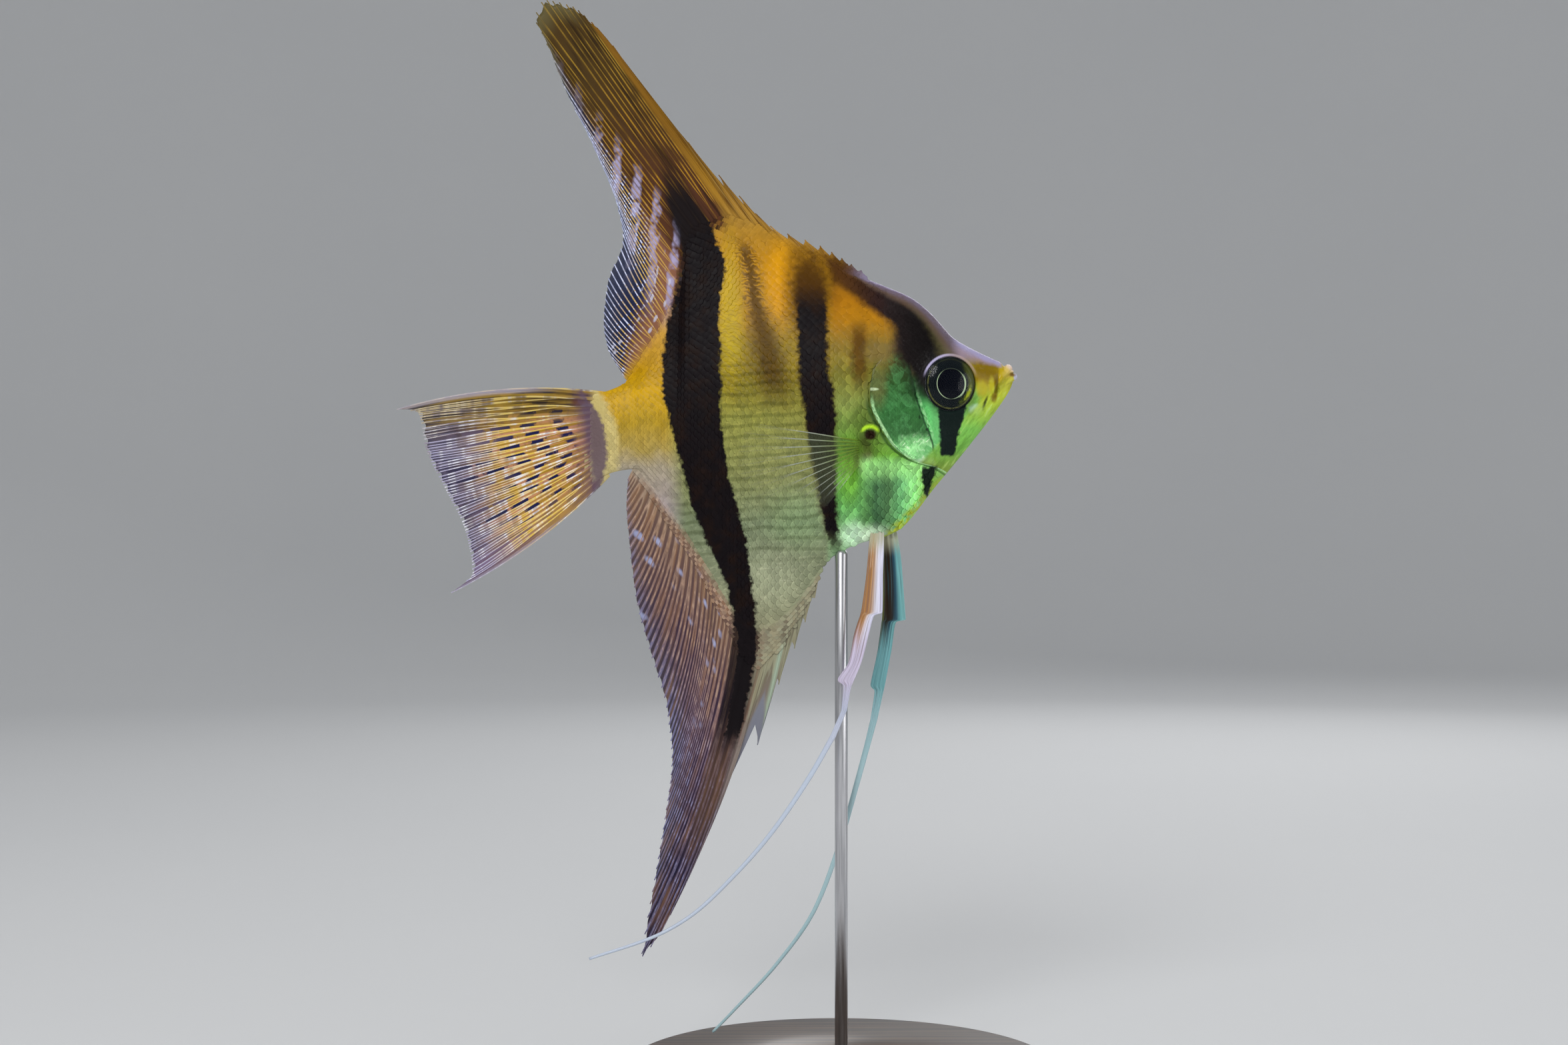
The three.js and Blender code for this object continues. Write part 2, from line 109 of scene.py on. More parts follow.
# Fins as key rays: ray, base x, base z, tip x, tip z, bow as a share of the length. A branch is a list of
# forks: side, spread in rays and where it starts. The sheath is how far scales run out over each ray.
DORSAL = {
    "rays": 38, "spines": 12, "thick": 0.34, "sway": 1.5, "notch": 0.3, "waver": 0.02,
    "branches": [((-1, 0.25, 0.06),), ((1, 0.25, 0.06),)],
    "key": [
        (0, 4.9, 165, 4, 167.3, 0), (4, -1.4, 167.4, -4.3, 172.4, 0), (7, -7.6, 170, -14.4, 176.4, 0),
        (9, -11.8, 171.6, -20.7, 182.4, 0), (11, -16.3, 173, -31, 193.1, 0),
        (12, -18.6, 173.4, -49.2, 216.1, 0), (14, -22.5, 173.9, -54.6, 220.2, 0),
        (16, -26.5, 173.9, -59.8, 221.3, 0), (17, -28.2, 173.5, -61.6, 217.8, 0),
        (18, -29.4, 172.4, -59.9, 214, 0.01), (20, -30.6, 169, -55.7, 203.5, 0.02),
        (22, -31.4, 165.2, -50.8, 193.8, 0.03), (25, -32.8, 159.4, -45.4, 180.5, 0.04),
        (27, -34.2, 156, -44.2, 173.8, 0.04), (30, -36.6, 151.8, -47.2, 164.8, 0.05),
        (33, -39.2, 148.4, -48, 156.6, 0.06), (35, -40.8, 146.4, -47.2, 151.6, 0.06),
        (37, -42.3, 144.4, -44.4, 146.4, 0.06),
    ],
    "sheath": [(0, 1.2), (4, 2.4), (8, 4), (12, 6), (15, 3.6), (18, 2.2), (24, 2.2), (32, 1.8), (37, 0.8)],
}
ANAL = {
    "rays": 34, "spines": 6, "thick": 0.34, "sway": 1.5, "notch": 0.3, "waver": 0.02,
    "branches": [((-1, 0.25, 0.25),), ((1, 0.25, 0.25),)],
    "key": [
        (0, -4.4, 107.6, -5.4, 100.9, 0), (2, -7, 104, -9.5, 90.6, 0), (3, -8.5, 102, -12.7, 83.3, 0),
        (4, -10.3, 99.8, -17, 71, 0.01), (5, -12.4, 98, -25, 58.8, 0.02),
        (6, -14.6, 96.9, -33.3, 39.3, 0.04), (7, -16.6, 96.6, -37.4, 31.8, 0.04),
        (8, -18.4, 97.2, -40.3, 28.5, 0.04), (9, -19.8, 98.4, -39.2, 35.4, 0.04),
        (11, -22, 101.2, -37.4, 45.4, 0.04), (14, -24.4, 104.6, -35.4, 57.5, 0.04),
        (17, -26.8, 108.6, -34.2, 68, 0.045), (20, -29.2, 112.6, -35.2, 78, 0.045),
        (23, -31.8, 116.6, -38.6, 89.8, 0.045), (26, -34.6, 120.4, -41.4, 100.4, 0.045),
        (29, -37.6, 124.2, -42.8, 112, 0.04), (31, -39.6, 126.4, -43.4, 119.6, 0.03),
        (33, -41.4, 128.2, -43.2, 124.8, 0),
    ],
    "sheath": [(0, 3), (2, 6), (4, 9), (6, 10), (8, 8), (11, 6), (18, 5.6), (26, 4), (33, 1.2)],
}
CAUDAL = {
    "rays": 17, "spines": 0, "thick": 0.42, "sway": 0.9, "notch": 0.0, "waver": 0.07,
    "branches": [
        ((-1, 0.23, 0.14), (-1, 0.13, 0.42)), ((-1, 0.21, 0.14), (1, 0.11, 0.42)),
        ((1, 0.21, 0.18), (-1, 0.11, 0.46)), ((1, 0.23, 0.18), (1, 0.13, 0.46)),
    ],
    "key": [
        (0, -47, 142.3, -89.9, 139.1, -0.055), (1, -47, 141, -85.8, 138.8, -0.03),
        (4, -47, 137.6, -83.9, 131.5, 0), (8, -47, 133.6, -79.6, 122.6, 0.01),
        (12, -47, 129.8, -75.6, 113.4, 0.015), (15, -47, 126.8, -74.3, 106, 0.02),
        (16, -47, 125.8, -78.9, 102, 0.045),
    ],
}
PECTORAL = {
    "rays": 12, "length": 24, "base": (3.4, 130.2, 2.3, 7.35), "splay": 4, "turn": (171, 232),
    "reach": [(0, 0.84), (0.1, 0.97), (0.3, 1), (0.65, 0.84), (0.88, 0.62), (1, 0.44)],
}
# Pelvic fins as a blade of (z, front x, rear x) and a thread of (x, z). "tones" runs from front to rear.
PELVIC_RIGHT = {
    "side": -1, "word": "right", "root": 2.3, "splay": 4.2, "width": (1.1, 0.55),
    "blade": [
        (117.4, 8.2, 7), (113.5, 8.6, 5.8), (105, 8.3, 4.9), (98.2, 8.2, 3.9), (97.5, 6.6, 3.7),
        (93.8, 5.5, 2.5), (88.2, 4, 1.4), (84.6, 2.5, -0.8), (83.2, 1.9, 0.4), (78.4, 1, -0.1),
    ],
    "thread": [
        (-1.7, 73.4), (-6.5, 65.1), (-14.3, 53.8), (-22.1, 45), (-30, 37.7), (-37.1, 33.6), (-50.5, 29),
    ],
    "tones": [
        (0, (0.6, 0.6, 0.76)), (0.35, (0.72, 0.7, 0.8)), (0.55, (0.5, 0.32, 0.2)), (0.7, (0.4, 0.19, 0.06)),
        (1, (0.3, 0.15, 0.06)),
    ],
    "lower": (0.56, 0.5, 0.64), "streak": (0.2, 0.12, 0.12), "end": (0.55, 0.62, 0.74),
}
PELVIC_LEFT = {
    "side": 1, "word": "left", "root": 2.3, "splay": 7, "width": (1.2, 0.55),
    "blade": [
        (118, 10, 8.6), (114.6, 11.2, 8.2), (108, 12.3, 8.5), (102, 12.8, 8.6), (96.5, 13.2, 8.4),
        (95.9, 11.3, 8.3), (90, 10.3, 7.5), (83, 9, 6.1), (81.6, 8.7, 6.9), (76, 7.5, 6.1),
    ],
    "thread": [
        (5.4, 70.4), (3.3, 62.6), (-0.6, 48.9), (-5.5, 36.2), (-12.9, 25.5), (-22.1, 15.4), (-26.3, 11),
    ],
    "tones": [
        (0, (0.2, 0.44, 0.44)), (0.22, (0.13, 0.36, 0.37)), (0.4, (0.03, 0.1, 0.15)),
        (0.52, (0.015, 0.02, 0.025)), (0.64, (0.022, 0.012, 0.006)), (0.92, (0.03, 0.016, 0.005)),
        (1, (0.2, 0.24, 0.05)),
    ],
    "lower": (0.16, 0.38, 0.4), "streak": (0.04, 0.12, 0.14), "end": (0.42, 0.6, 0.64),
}

# ---- Curves -----------------------------------------------------------------------------


def mix(a, b, t):
    """From a to b as t goes from 0 to 1."""
    return a + (b - a) * t


def ease(x, low, high):
    """0 below low, 1 above high, smooth between."""
    t = np.clip((x - low) / (high - low), 0, 1)
    return t * t * (3 - 2 * t)


def bump(x, width):
    """A bell, 1 at x = 0."""
    return np.exp(-((x / width) ** 2))


def unit(rows):
    """Each row of a table as a direction of length 1."""
    return rows / np.linalg.norm(rows, axis=1)[:, None]


def through(points):
    """A smooth curve through (t, value) points that never overshoots them."""
    t, value = np.array(points, float).T
    span = np.diff(t)
    rate = np.diff(value) / span
    slope = np.zeros(len(t))
    before, after = rate[:-1], rate[1:]
    keep = before * after > 0
    slope[1:-1][keep] = (2 * before * after)[keep] / (before + after)[keep]
    slope[0], slope[-1] = rate[0], rate[-1]

    def at(x):
        x = np.clip(x, t[0], t[-1])
        i = np.clip(np.searchsorted(t, x, side="right") - 1, 0, len(span) - 1)
        u = (x - t[i]) / span[i]
        rise = value[i + 1] - value[i]
        curve = span[i] * (slope[i] * (1 - u) - slope[i + 1] * u) + rise * (2 * u - 1)
        return value[i] + rise * u + u * (1 - u) * curve

    return at


def off_line(x, z, line):
    """Distance from a line, and the same with a sign: positive to the line's left as it is listed."""
    a = np.array(line[:-1], float)
    b = np.array(line[1:], float)
    nearest = np.full(np.shape(x), 1e9)
    signed = np.full(np.shape(x), 1e9)
    for (ax, az), (bx, bz) in zip(a, b):
        dx, dz = bx - ax, bz - az
        t = np.clip(((x - ax) * dx + (z - az) * dz) / (dx * dx + dz * dz), 0, 1)
        away = np.hypot(x - ax - t * dx, z - az - t * dz)
        side = np.sign(dx * (z - az) - dz * (x - ax))
        closer = away < nearest
        nearest = np.where(closer, away, nearest)
        signed = np.where(closer, away * side, signed)
    return nearest, signed


top, bottom, level, width, upper_keel, lower_keel, root_edge = (
    through(table)
    for table in (TOP_PROFILE, BOTTOM_PROFILE, WIDEST_LEVEL, HALF_WIDTH, UPPER_KEEL, LOWER_KEEL, ROOT_EDGE)
)


def eye_plane(x):
    """How far from the middle plane the eye's rim lies at x."""
    return EYE["side"] - math.tan(math.radians(EYE["yaw"])) * (x - EYE["x"])


def plain_flank(x, z):
    """Half the body's width at a point of its side view, before the fine forms."""
    middle = level(x)
    above = z > middle
    share = np.where(above, (z - middle) / (top(x) - middle), (middle - z) / (middle - bottom(x)))
    keel = np.where(above, upper_keel(x), lower_keel(x))
    edge = root_edge(x)
    return edge + (width(x) - edge) * np.maximum(1 - share**2, 0) ** keel


def flank(x, z):
    """Half the body's width with the folds of the head, gill cover and mouth."""
    half = plain_flank(x, z)
    side, over = off_line(x, z, GILL_EDGE)
    held = (1 - ease(z, 143.5, 150)) * (1 - ease(x, 18.5, 22.5))
    raised = 0.42 * ease(over, 0.0, 0.45) * np.exp(-np.maximum(over, 0) / 4)
    half = half + held * (raised - 0.2 * bump(over + 0.3, 0.45))
    side, over = off_line(x, z, CHEEK_FOLD)
    held = (1 - ease(z, 142.5, 146.5)) * ease(z, 128.8, 130.5)
    raised = 0.18 * ease(over, 0.1, 0.6) * np.exp(-np.maximum(over, 0) / 2)
    half = half + held * (raised - 0.26 * bump(side, 0.28))
    folds = ((LIP_FOLD, 0.22, 0.26), (CHEEK_SLIT, 0.34, 0.22), (CHIN_FOLD, 0.16, 0.4), (MOUTH_GAP, 0.4, 0.26))
    for line, depth, wide in folds:
        side, _ = off_line(x, z, line)
        half = half - depth * bump(side, wide)
    side, _ = off_line(x, z, MOUTH_GAP)
    half = half + 0.22 * bump(side - 0.75, 0.4)
    pit = np.hypot(x - NOSTRIL[0], z - NOSTRIL[1])
    half = half - 0.42 * bump(pit, 0.32) + 0.13 * bump(pit - 0.65, 0.22)
    pit = np.hypot((x - FIN_PIT[0]) / 1.2, z - FIN_PIT[1])
    half = half - 0.45 * bump(pit, 0.8)
    round_eye = np.hypot(x - EYE["x"], (z - EYE["z"]) / EYE["tall"])
    rim = eye_plane(x) + 0.12
    half = mix(half, np.maximum(half, rim), bump(np.maximum(round_eye - 5.4, 0), 1.3))
    half = half + 0.12 * bump(round_eye - 5.75, 0.35)
    return mix(half, eye_plane(x) - 1.4, 1 - ease(round_eye, 4.6, 5.3))


# ---- Meshes -----------------------------------------------------------------------------


def placed(name, data):
    """A new object of the scene, made from its data."""
    made = bpy.data.objects.new(name, data)
    bpy.context.scene.collection.objects.link(made)
    return made


def piece_of(name, points, faces, maps=None, values=None):
    """A piece from points in millimetres, with UV maps per corner and numbers or vectors per point."""
    made = bpy.data.meshes.new(name)
    made.from_pydata((np.asarray(points, float) * MM).tolist(), [], faces)
    for key, corners in (maps or {}).items():
        made.uv_layers.new(name=key).data.foreach_set("uv", np.asarray(corners, np.float32).ravel())
    for key, numbers in (values or {}).items():
        numbers = np.asarray(numbers, np.float32)
        kind, field = ("FLOAT", "value") if numbers.ndim == 1 else ("FLOAT_VECTOR", "vector")
        made.attributes.new(key, kind, "POINT").data.foreach_set(field, numbers.ravel())
    made.update()
    return placed(name, made)


def settle(piece, finish, slot, *nodes):
    """The finished piece gets its material and stands for its CAD nodes."""
    piece.data.materials.clear()
    piece.data.materials.append(finish)
    piece.data.shade_smooth()
    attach(piece, "root")
    if nodes:
        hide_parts(*nodes)
    return piece


def ring_faces(rings, around):
    """Quads between closed rings, and their (ring, step) at each corner."""
    i, j = np.meshgrid(np.arange(rings - 1), np.arange(around), indexing="ij")
    i, j = i.ravel(), j.ravel()
    steps = np.stack([np.stack([i + a, j + b], -1) for a, b in ((0, 0), (1, 0), (1, 1), (0, 1))], 1)
    return steps[..., 0] * around + steps[..., 1] % around, steps


def fan(hub, first, around, flip=False):
    """Triangles from a hub to each edge of the ring whose points start at first."""
    j = np.arange(around)
    edge = [first + j, first + (j + 1) % around]
    return np.stack([np.full(around, hub), *(edge[::-1] if flip else edge)], -1).tolist()


def turned(profile, segments):
    """Points and faces of a profile of (radius, height) turned about Z. Its ends lie on the axis."""
    angles = np.linspace(0, 2 * np.pi, segments, endpoint=False)
    radius, height = np.array(profile[1:-1], float).T[:, :, None]
    points = np.stack([radius * np.cos(angles), radius * np.sin(angles), height + 0 * angles], -1)
    points = points.reshape(-1, 3)
    last = len(points)
    faces = ring_faces(len(profile) - 2, segments)[0].tolist()
    faces += fan(last, 0, segments) + fan(last + 1, last - segments, segments, True)
    return np.vstack([points, (0, 0, profile[0][1]), (0, 0, profile[-1][1])]), faces


def outward(piece):
    """Turns the faces of a closed piece to point out."""
    work = bmesh.new()
    work.from_mesh(piece.data)
    bmesh.ops.recalc_face_normals(work, faces=work.faces)
    work.to_mesh(piece.data)
    work.free()
    return piece


def slab(us, vs, at):
    """Points and faces of a closed slab: at(u, v) gives x, y, z and half thickness."""
    u, v = np.meshgrid(us, vs, indexing="ij")
    x, y, z, half = at(u, v)
    points = np.stack([np.stack([x, y - half, z], -1), np.stack([x, y + half, z], -1)], 2).reshape(-1, 3)
    columns, rows = len(us), len(vs)
    corner = np.arange(2 * columns * rows).reshape(columns, rows, 2)
    sheets = [corner[..., 0], corner[..., 1], corner[:, 0], corner[:, -1], corner[0], corner[-1]]
    faces = [[a[:-1, :-1], a[1:, :-1], a[1:, 1:], a[:-1, 1:]] for a in sheets]
    return points, np.concatenate([np.stack([c.ravel() for c in quad], -1) for quad in faces]).tolist()


def on_both(**grids):
    """Values given per place of a slab, for the points on both its sides."""
    return {name: np.repeat(grid.ravel(), 2) for name, grid in grids.items()}


# ---- Node trees -------------------------------------------------------------------------


class Tone:
    """A value or colour in a finish, which takes plain arithmetic."""

    def __init__(self, paint, out):
        self.paint = paint
        self.out = out

    def __add__(self, other):
        return self.paint.math("ADD", self, other)

    def __sub__(self, other):
        return self.paint.math("SUBTRACT", self, other)

    def __mul__(self, other):
        return self.paint.math("MULTIPLY", self, other)

    def __truediv__(self, other):
        return self.paint.math("DIVIDE", self, other)

    def __pow__(self, other):
        return self.paint.math("POWER", self, other)

    def __rsub__(self, other):
        return self.paint.math("SUBTRACT", other, self)

    def __rtruediv__(self, other):
        return self.paint.math("DIVIDE", other, self)

    def __abs__(self):
        return self.paint.math("ABSOLUTE", self)

    def ease(self, low, high):
        """Eases from 0 at low to 1 at high, whichever of them is the larger."""
        settings = {"interpolation_type": "SMOOTHSTEP"}
        sockets = {"Value": self, "From Min": low, "From Max": high}
        return Tone(self.paint, self.paint.node("MapRange", settings, sockets).outputs["Result"])

    __radd__ = __add__
    __rmul__ = __mul__


class Wires:
    """Adds nodes to a tree: a type, its settings, then its sockets' values or links. A type is named
    without the tree's own prefix, or in full."""

    prefix = ""

    def __init__(self, tree):
        self.tree = tree

    def node(self, kind, settings=None, sockets=None):
        made = self.tree.nodes.new(kind if "Node" in kind else self.prefix + kind)
        for name, value in (settings or {}).items():
            if name == "stops":
                self.set_stops(made.color_ramp, value)
            elif name == "points":
                self.set_points(made.mapping, value)
            else:
                setattr(made, name, value)
        for name, value in (sockets or {}).items():
            self.put(made.inputs[name], value)
        return made

    def put(self, socket, value):
        if isinstance(value, Tone):
            self.tree.links.new(value.out, socket)
        elif isinstance(value, bpy.types.NodeSocket):
            self.tree.links.new(value, socket)
        elif socket.type == "RGBA" and len(value) == 3:
            socket.default_value = (*value, 1)
        else:
            socket.default_value = value

    @staticmethod
    def set_stops(ramp, stops):
        while len(ramp.elements) < len(stops):
            ramp.elements.new(0.5)
        for element, (place, colour) in zip(ramp.elements, stops):
            element.position = place
            element.color = (*colour, 1)

    @staticmethod
    def set_points(mapping, points):
        curve = mapping.curves[0]
        while len(curve.points) < len(points):
            curve.points.new(0.5, 0.5)
        for point, place in zip(curve.points, points):
            point.location = place
        mapping.update()


class Paint(Wires):
    """One finish. x, y and z are the object's own coordinates in millimetres."""

    prefix = "ShaderNode"

    def __init__(self, name):
        self.material = bpy.data.materials.new(name)
        self.material.use_nodes = True
        super().__init__(self.material.node_tree)
        self.tree.nodes.clear()
        place = self.node("TexCoord").outputs["Object"]
        scaled = self.node("VectorMath", {"operation": "SCALE"}, {"Vector": place, "Scale": 1000.0})
        self.set_place(scaled.outputs["Vector"])

    def set_place(self, place):
        self.place = Tone(self, place)
        apart = self.node("SeparateXYZ", sockets={"Vector": self.place})
        self.x, self.y, self.z = (Tone(self, apart.outputs[axis]) for axis in "XYZ")

    def math(self, operation, *values):
        return Tone(self, self.node("Math", {"operation": operation}, dict(enumerate(values))).outputs[0])

    def blend(self, share, a, b, how="MIX"):
        settings = {"data_type": "RGBA", "blend_type": how}
        return Tone(self, self.node("Mix", settings, {0: share, 6: a, 7: b}).outputs[2])

    def times(self, tone, colour):
        return self.blend(1.0, tone, colour, "MULTIPLY")

    def vector(self, x, y, z):
        return Tone(self, self.node("CombineXYZ", sockets={"X": x, "Y": y, "Z": z}).outputs[0])

    def noise(self, size, detail=2.0, at=None, stretch=None):
        """Soft noise from 0 to 1 whose lumps are about size millimetres across."""
        at = at or self.place
        if stretch:
            scaled = self.node("VectorMath", {"operation": "MULTIPLY"}, {0: at, 1: stretch})
            at = Tone(self, scaled.outputs["Vector"])
        made = self.node("TexNoise", sockets={"Vector": at, "Scale": 1.0 / size, "Detail": detail})
        return Tone(self, made.outputs["Fac"])

    def cells(self, size, feature="F1", at=None, output="Distance"):
        sockets = {"Vector": at or self.place, "Scale": 1.0 / size}
        return Tone(self, self.node("TexVoronoi", {"feature": feature}, sockets).outputs[output])

    def ramp(self, value, stops):
        """A colour from stops of (value, colour), listed from low to high."""
        low, high = stops[0][0], stops[-1][0]
        share = (value - low) / (high - low)
        spaced = [((place - low) / (high - low), colour) for place, colour in stops]
        return Tone(self, self.node("ValToRGB", {"stops": spaced}, {"Fac": share}).outputs["Color"])

    def curve(self, value, points):
        """A smooth curve through (value, result) points."""
        points = sorted(points)
        low, high = points[0][0], points[-1][0]
        least = min(p[1] for p in points)
        most = max(p[1] for p in points)
        even = [((p[0] - low) / (high - low), (p[1] - least) / (most - least)) for p in points]
        share = self.node("FloatCurve", {"points": even}, {"Value": (value - low) / (high - low)})
        return Tone(self, share.outputs["Value"]) * (most - least) + least

    def read(self, name):
        return Tone(self, self.node("Attribute", {"attribute_name": name}).outputs["Fac"])

    def slant(self, degrees, long, wide):
        """Places for noise that is drawn out along a line over the flank."""
        c, s = math.cos(math.radians(degrees)), math.sin(math.radians(degrees))
        along = (self.x * c + self.z * s) / long
        return self.vector(along, (self.z * c - self.x * s) / wide, self.y * 0.3)

    def spot(self, x, z, wide, tall, soft=0.5, wobble=None):
        """1 inside an oval on the flank, fading out over its edge."""
        away = ((self.x - x) / wide) ** 2 + ((self.z - z) / tall) ** 2
        away = away ** 0.5
        if wobble is not None:
            away = away + wobble
        return away.ease(1 + soft, 1 - soft)

    def dab(self, tone, x, z, wide, tall, soft, share, colour, wobble=None):
        """The tone with a soft oval of another colour on the flank."""
        return self.blend(self.spot(x, z, wide, tall, soft, wobble) * share, tone, colour)

    def surface(self, colour, **sockets):
        """Ends the finish in a Principled surface."""
        named = {name.replace("_", " "): value for name, value in sockets.items()}
        made = self.node("BsdfPrincipled", sockets={"Base Color": colour, **named})
        self.node("OutputMaterial", sockets={"Surface": made.outputs["BSDF"]})
        return self.material

    def relief(self, height, strength, distance):
        """A Bump node's normal from a height."""
        sockets = {"Height": height, "Strength": strength, "Distance": distance}
        return Tone(self, self.node("Bump", sockets=sockets).outputs["Normal"])


class Pattern(Paint):
    """A colour over the places of the fish, kept as one node group that several finishes share."""

    def __init__(self, name, draw):
        Wires.__init__(self, bpy.data.node_groups.new(name, "ShaderNodeTree"))
        self.tree.interface.new_socket("Place", in_out="INPUT", socket_type="NodeSocketVector")
        self.tree.interface.new_socket("Colour", in_out="OUTPUT", socket_type="NodeSocketColor")
        self.set_place(self.node("NodeGroupInput").outputs[0])
        self.put(self.node("NodeGroupOutput").inputs[0], draw(self))

    def on(self, p):
        """The pattern's colour in the finish p."""
        return Tone(p, p.node("Group", {"node_tree": self.tree}, {"Place": p.place}).outputs["Colour"])


class Jig(Wires):
    """A Geometry Nodes tree with named inputs, put on one object and turned into a plain mesh."""

    prefix = "GeometryNode"

    def __init__(self, name, **inputs):
        super().__init__(bpy.data.node_groups.new(name, "GeometryNodeTree"))
        face = self.tree.interface
        face.new_socket("Geometry", in_out="INPUT", socket_type="NodeSocketGeometry")
        face.new_socket("Geometry", in_out="OUTPUT", socket_type="NodeSocketGeometry")
        self.values = inputs
        for label, (kind, _) in inputs.items():
            face.new_socket(label, in_out="INPUT", socket_type="NodeSocket" + kind)
        self.given = self.node("NodeGroupInput").outputs
        self.end = self.node("NodeGroupOutput").inputs[0]

    def stored(self, name, kind):
        """What the points hold under a name."""
        return self.node("InputNamedAttribute", {"data_type": kind}, {"Name": name}).outputs["Attribute"]

    def finish_on(self, piece, geometry):
        """Closes the tree, runs it on the piece and returns the plain result under its name."""
        whole = self.node("RealizeInstances", sockets={"Geometry": geometry}).outputs[0]
        smooth = self.node("SetShadeSmooth", sockets={"Geometry": whole}).outputs[0]
        coated = self.node("SetMaterial", sockets={"Geometry": smooth, "Material": self.given["Finish"]})
        self.put(self.end, coated.outputs[0])
        modifier = piece.modifiers.new("Jig", "NODES")
        modifier.node_group = self.tree
        for item in self.tree.interface.items_tree:
            if item.item_type == "SOCKET" and item.in_out == "INPUT" and item.name in self.values:
                modifier[item.identifier] = self.values[item.name][1]
        graph = bpy.context.evaluated_depsgraph_get()
        seen = piece.evaluated_get(graph)
        plain = bpy.data.meshes.new_from_object(seen, preserve_all_data_layers=True, depsgraph=graph)
        piece.modifiers.remove(modifier)
        name = piece.name
        bpy.data.objects.remove(piece)
        return placed(name, plain)


# ---- Colours of the fish ----------------------------------------------------------------

INK = (0.006, 0.004, 0.005)
BROWN = (0.085, 0.033, 0.002)
CREAM = (0.6, 0.5, 0.2)
MAUVE = (0.16, 0.125, 0.19)
# LILAC is partly the brow's own colour, partly a painted highlight along the ridge.
LILAC = (0.36, 0.33, 0.56)

RIDGE = [(-12, 172.5), *(p for p in TOP_PROFILE if -5 < p[0] < 27), (32.4, 148.5), (34.8, 147.2)]
REAR_BAR = (
    [
        (182, -31.5), (172.7, -33.2), (165.1, -33.8), (160.4, -34.4), (153.1, -35.7), (144.5, -36.1),
        (137.3, -34.7), (130.3, -32.9), (121.6, -30.7), (112.5, -27.3), (101.1, -22.7), (90.5, -21.4),
        (81.8, -22.4), (74, -23.6), (66, -26),
    ],
    [
        (182, -27.4), (172.7, -25), (166.2, -23.6), (161.3, -24.6), (149.9, -24.3), (137.3, -24.2),
        (128.9, -23.2), (118.9, -20.8), (105.7, -18.2), (92.4, -17.1), (85.6, -17.8), (79.9, -18.9),
        (73.4, -20.5), (66, -23.5),
    ],
)
MIDDLE_BAR = (
    [
        (169, -9.4), (157.1, -8.9), (148, -8.6), (138.8, -7.6), (131.7, -6.5), (123.3, -5), (117.6, -4),
        (111, -2),
    ],
    [
        (169, -3.6), (157.1, -3.1), (148, -3), (142.3, -1.9), (133.8, -1.3), (123.3, -1.3), (116.2, -0.8),
        (111, 0),
    ],
)
NAPE_BAND = (
    [
        (167, -2), (164, 0), (162, 2.6), (160, 4.6), (158, 7.4), (156, 9.6), (152, 10.6), (150, 10.9),
        (148, 12.4), (146, 13.8), (144, 14.9), (142, 16), (140, 17.6), (136, 19.6),
    ],
    [
        (167, 1.5), (165, 4.5), (163, 8.4), (161.5, 11.4), (160, 13.6), (158, 15.8), (156, 17.3),
        (153, 18.9), (151, 19.6), (149, 19.9), (146, 20.5), (136, 22),
    ],
)
THROAT_MARK = (
    [(128, 16), (125, 16.2), (123, 16.6), (121, 17)],
    [(128, 19.6), (126, 18.8), (124, 18.1), (122, 17.6), (121, 17.3)],
)
EYE_BAR = (
    [(141, 18.6), (138.5, 19.3), (134, 19.6), (129.6, 19.8)],
    [(141, 25.2), (138.5, 24.8), (135, 23.8), (129.6, 22.7)],
)


def band(p, edges, low, high, soft=0.4, fade=0.6, ragged=1.0):
    """A dark band between two edges given over height, from low to high."""
    wobble = (p.noise(0.9, 3.0) - 0.5) * (2.0 * ragged) + (p.noise(3.5) - 0.5) * (1.2 * ragged)
    left = (p.x - p.curve(p.z, edges[0]) + wobble).ease(-soft, soft)
    right = (p.curve(p.z, edges[1]) - p.x + wobble).ease(-soft, soft)
    ends = (p.z + wobble).ease(low - fade, low + fade) * (p.z + wobble).ease(high + fade, high - fade)
    return left * right * ends


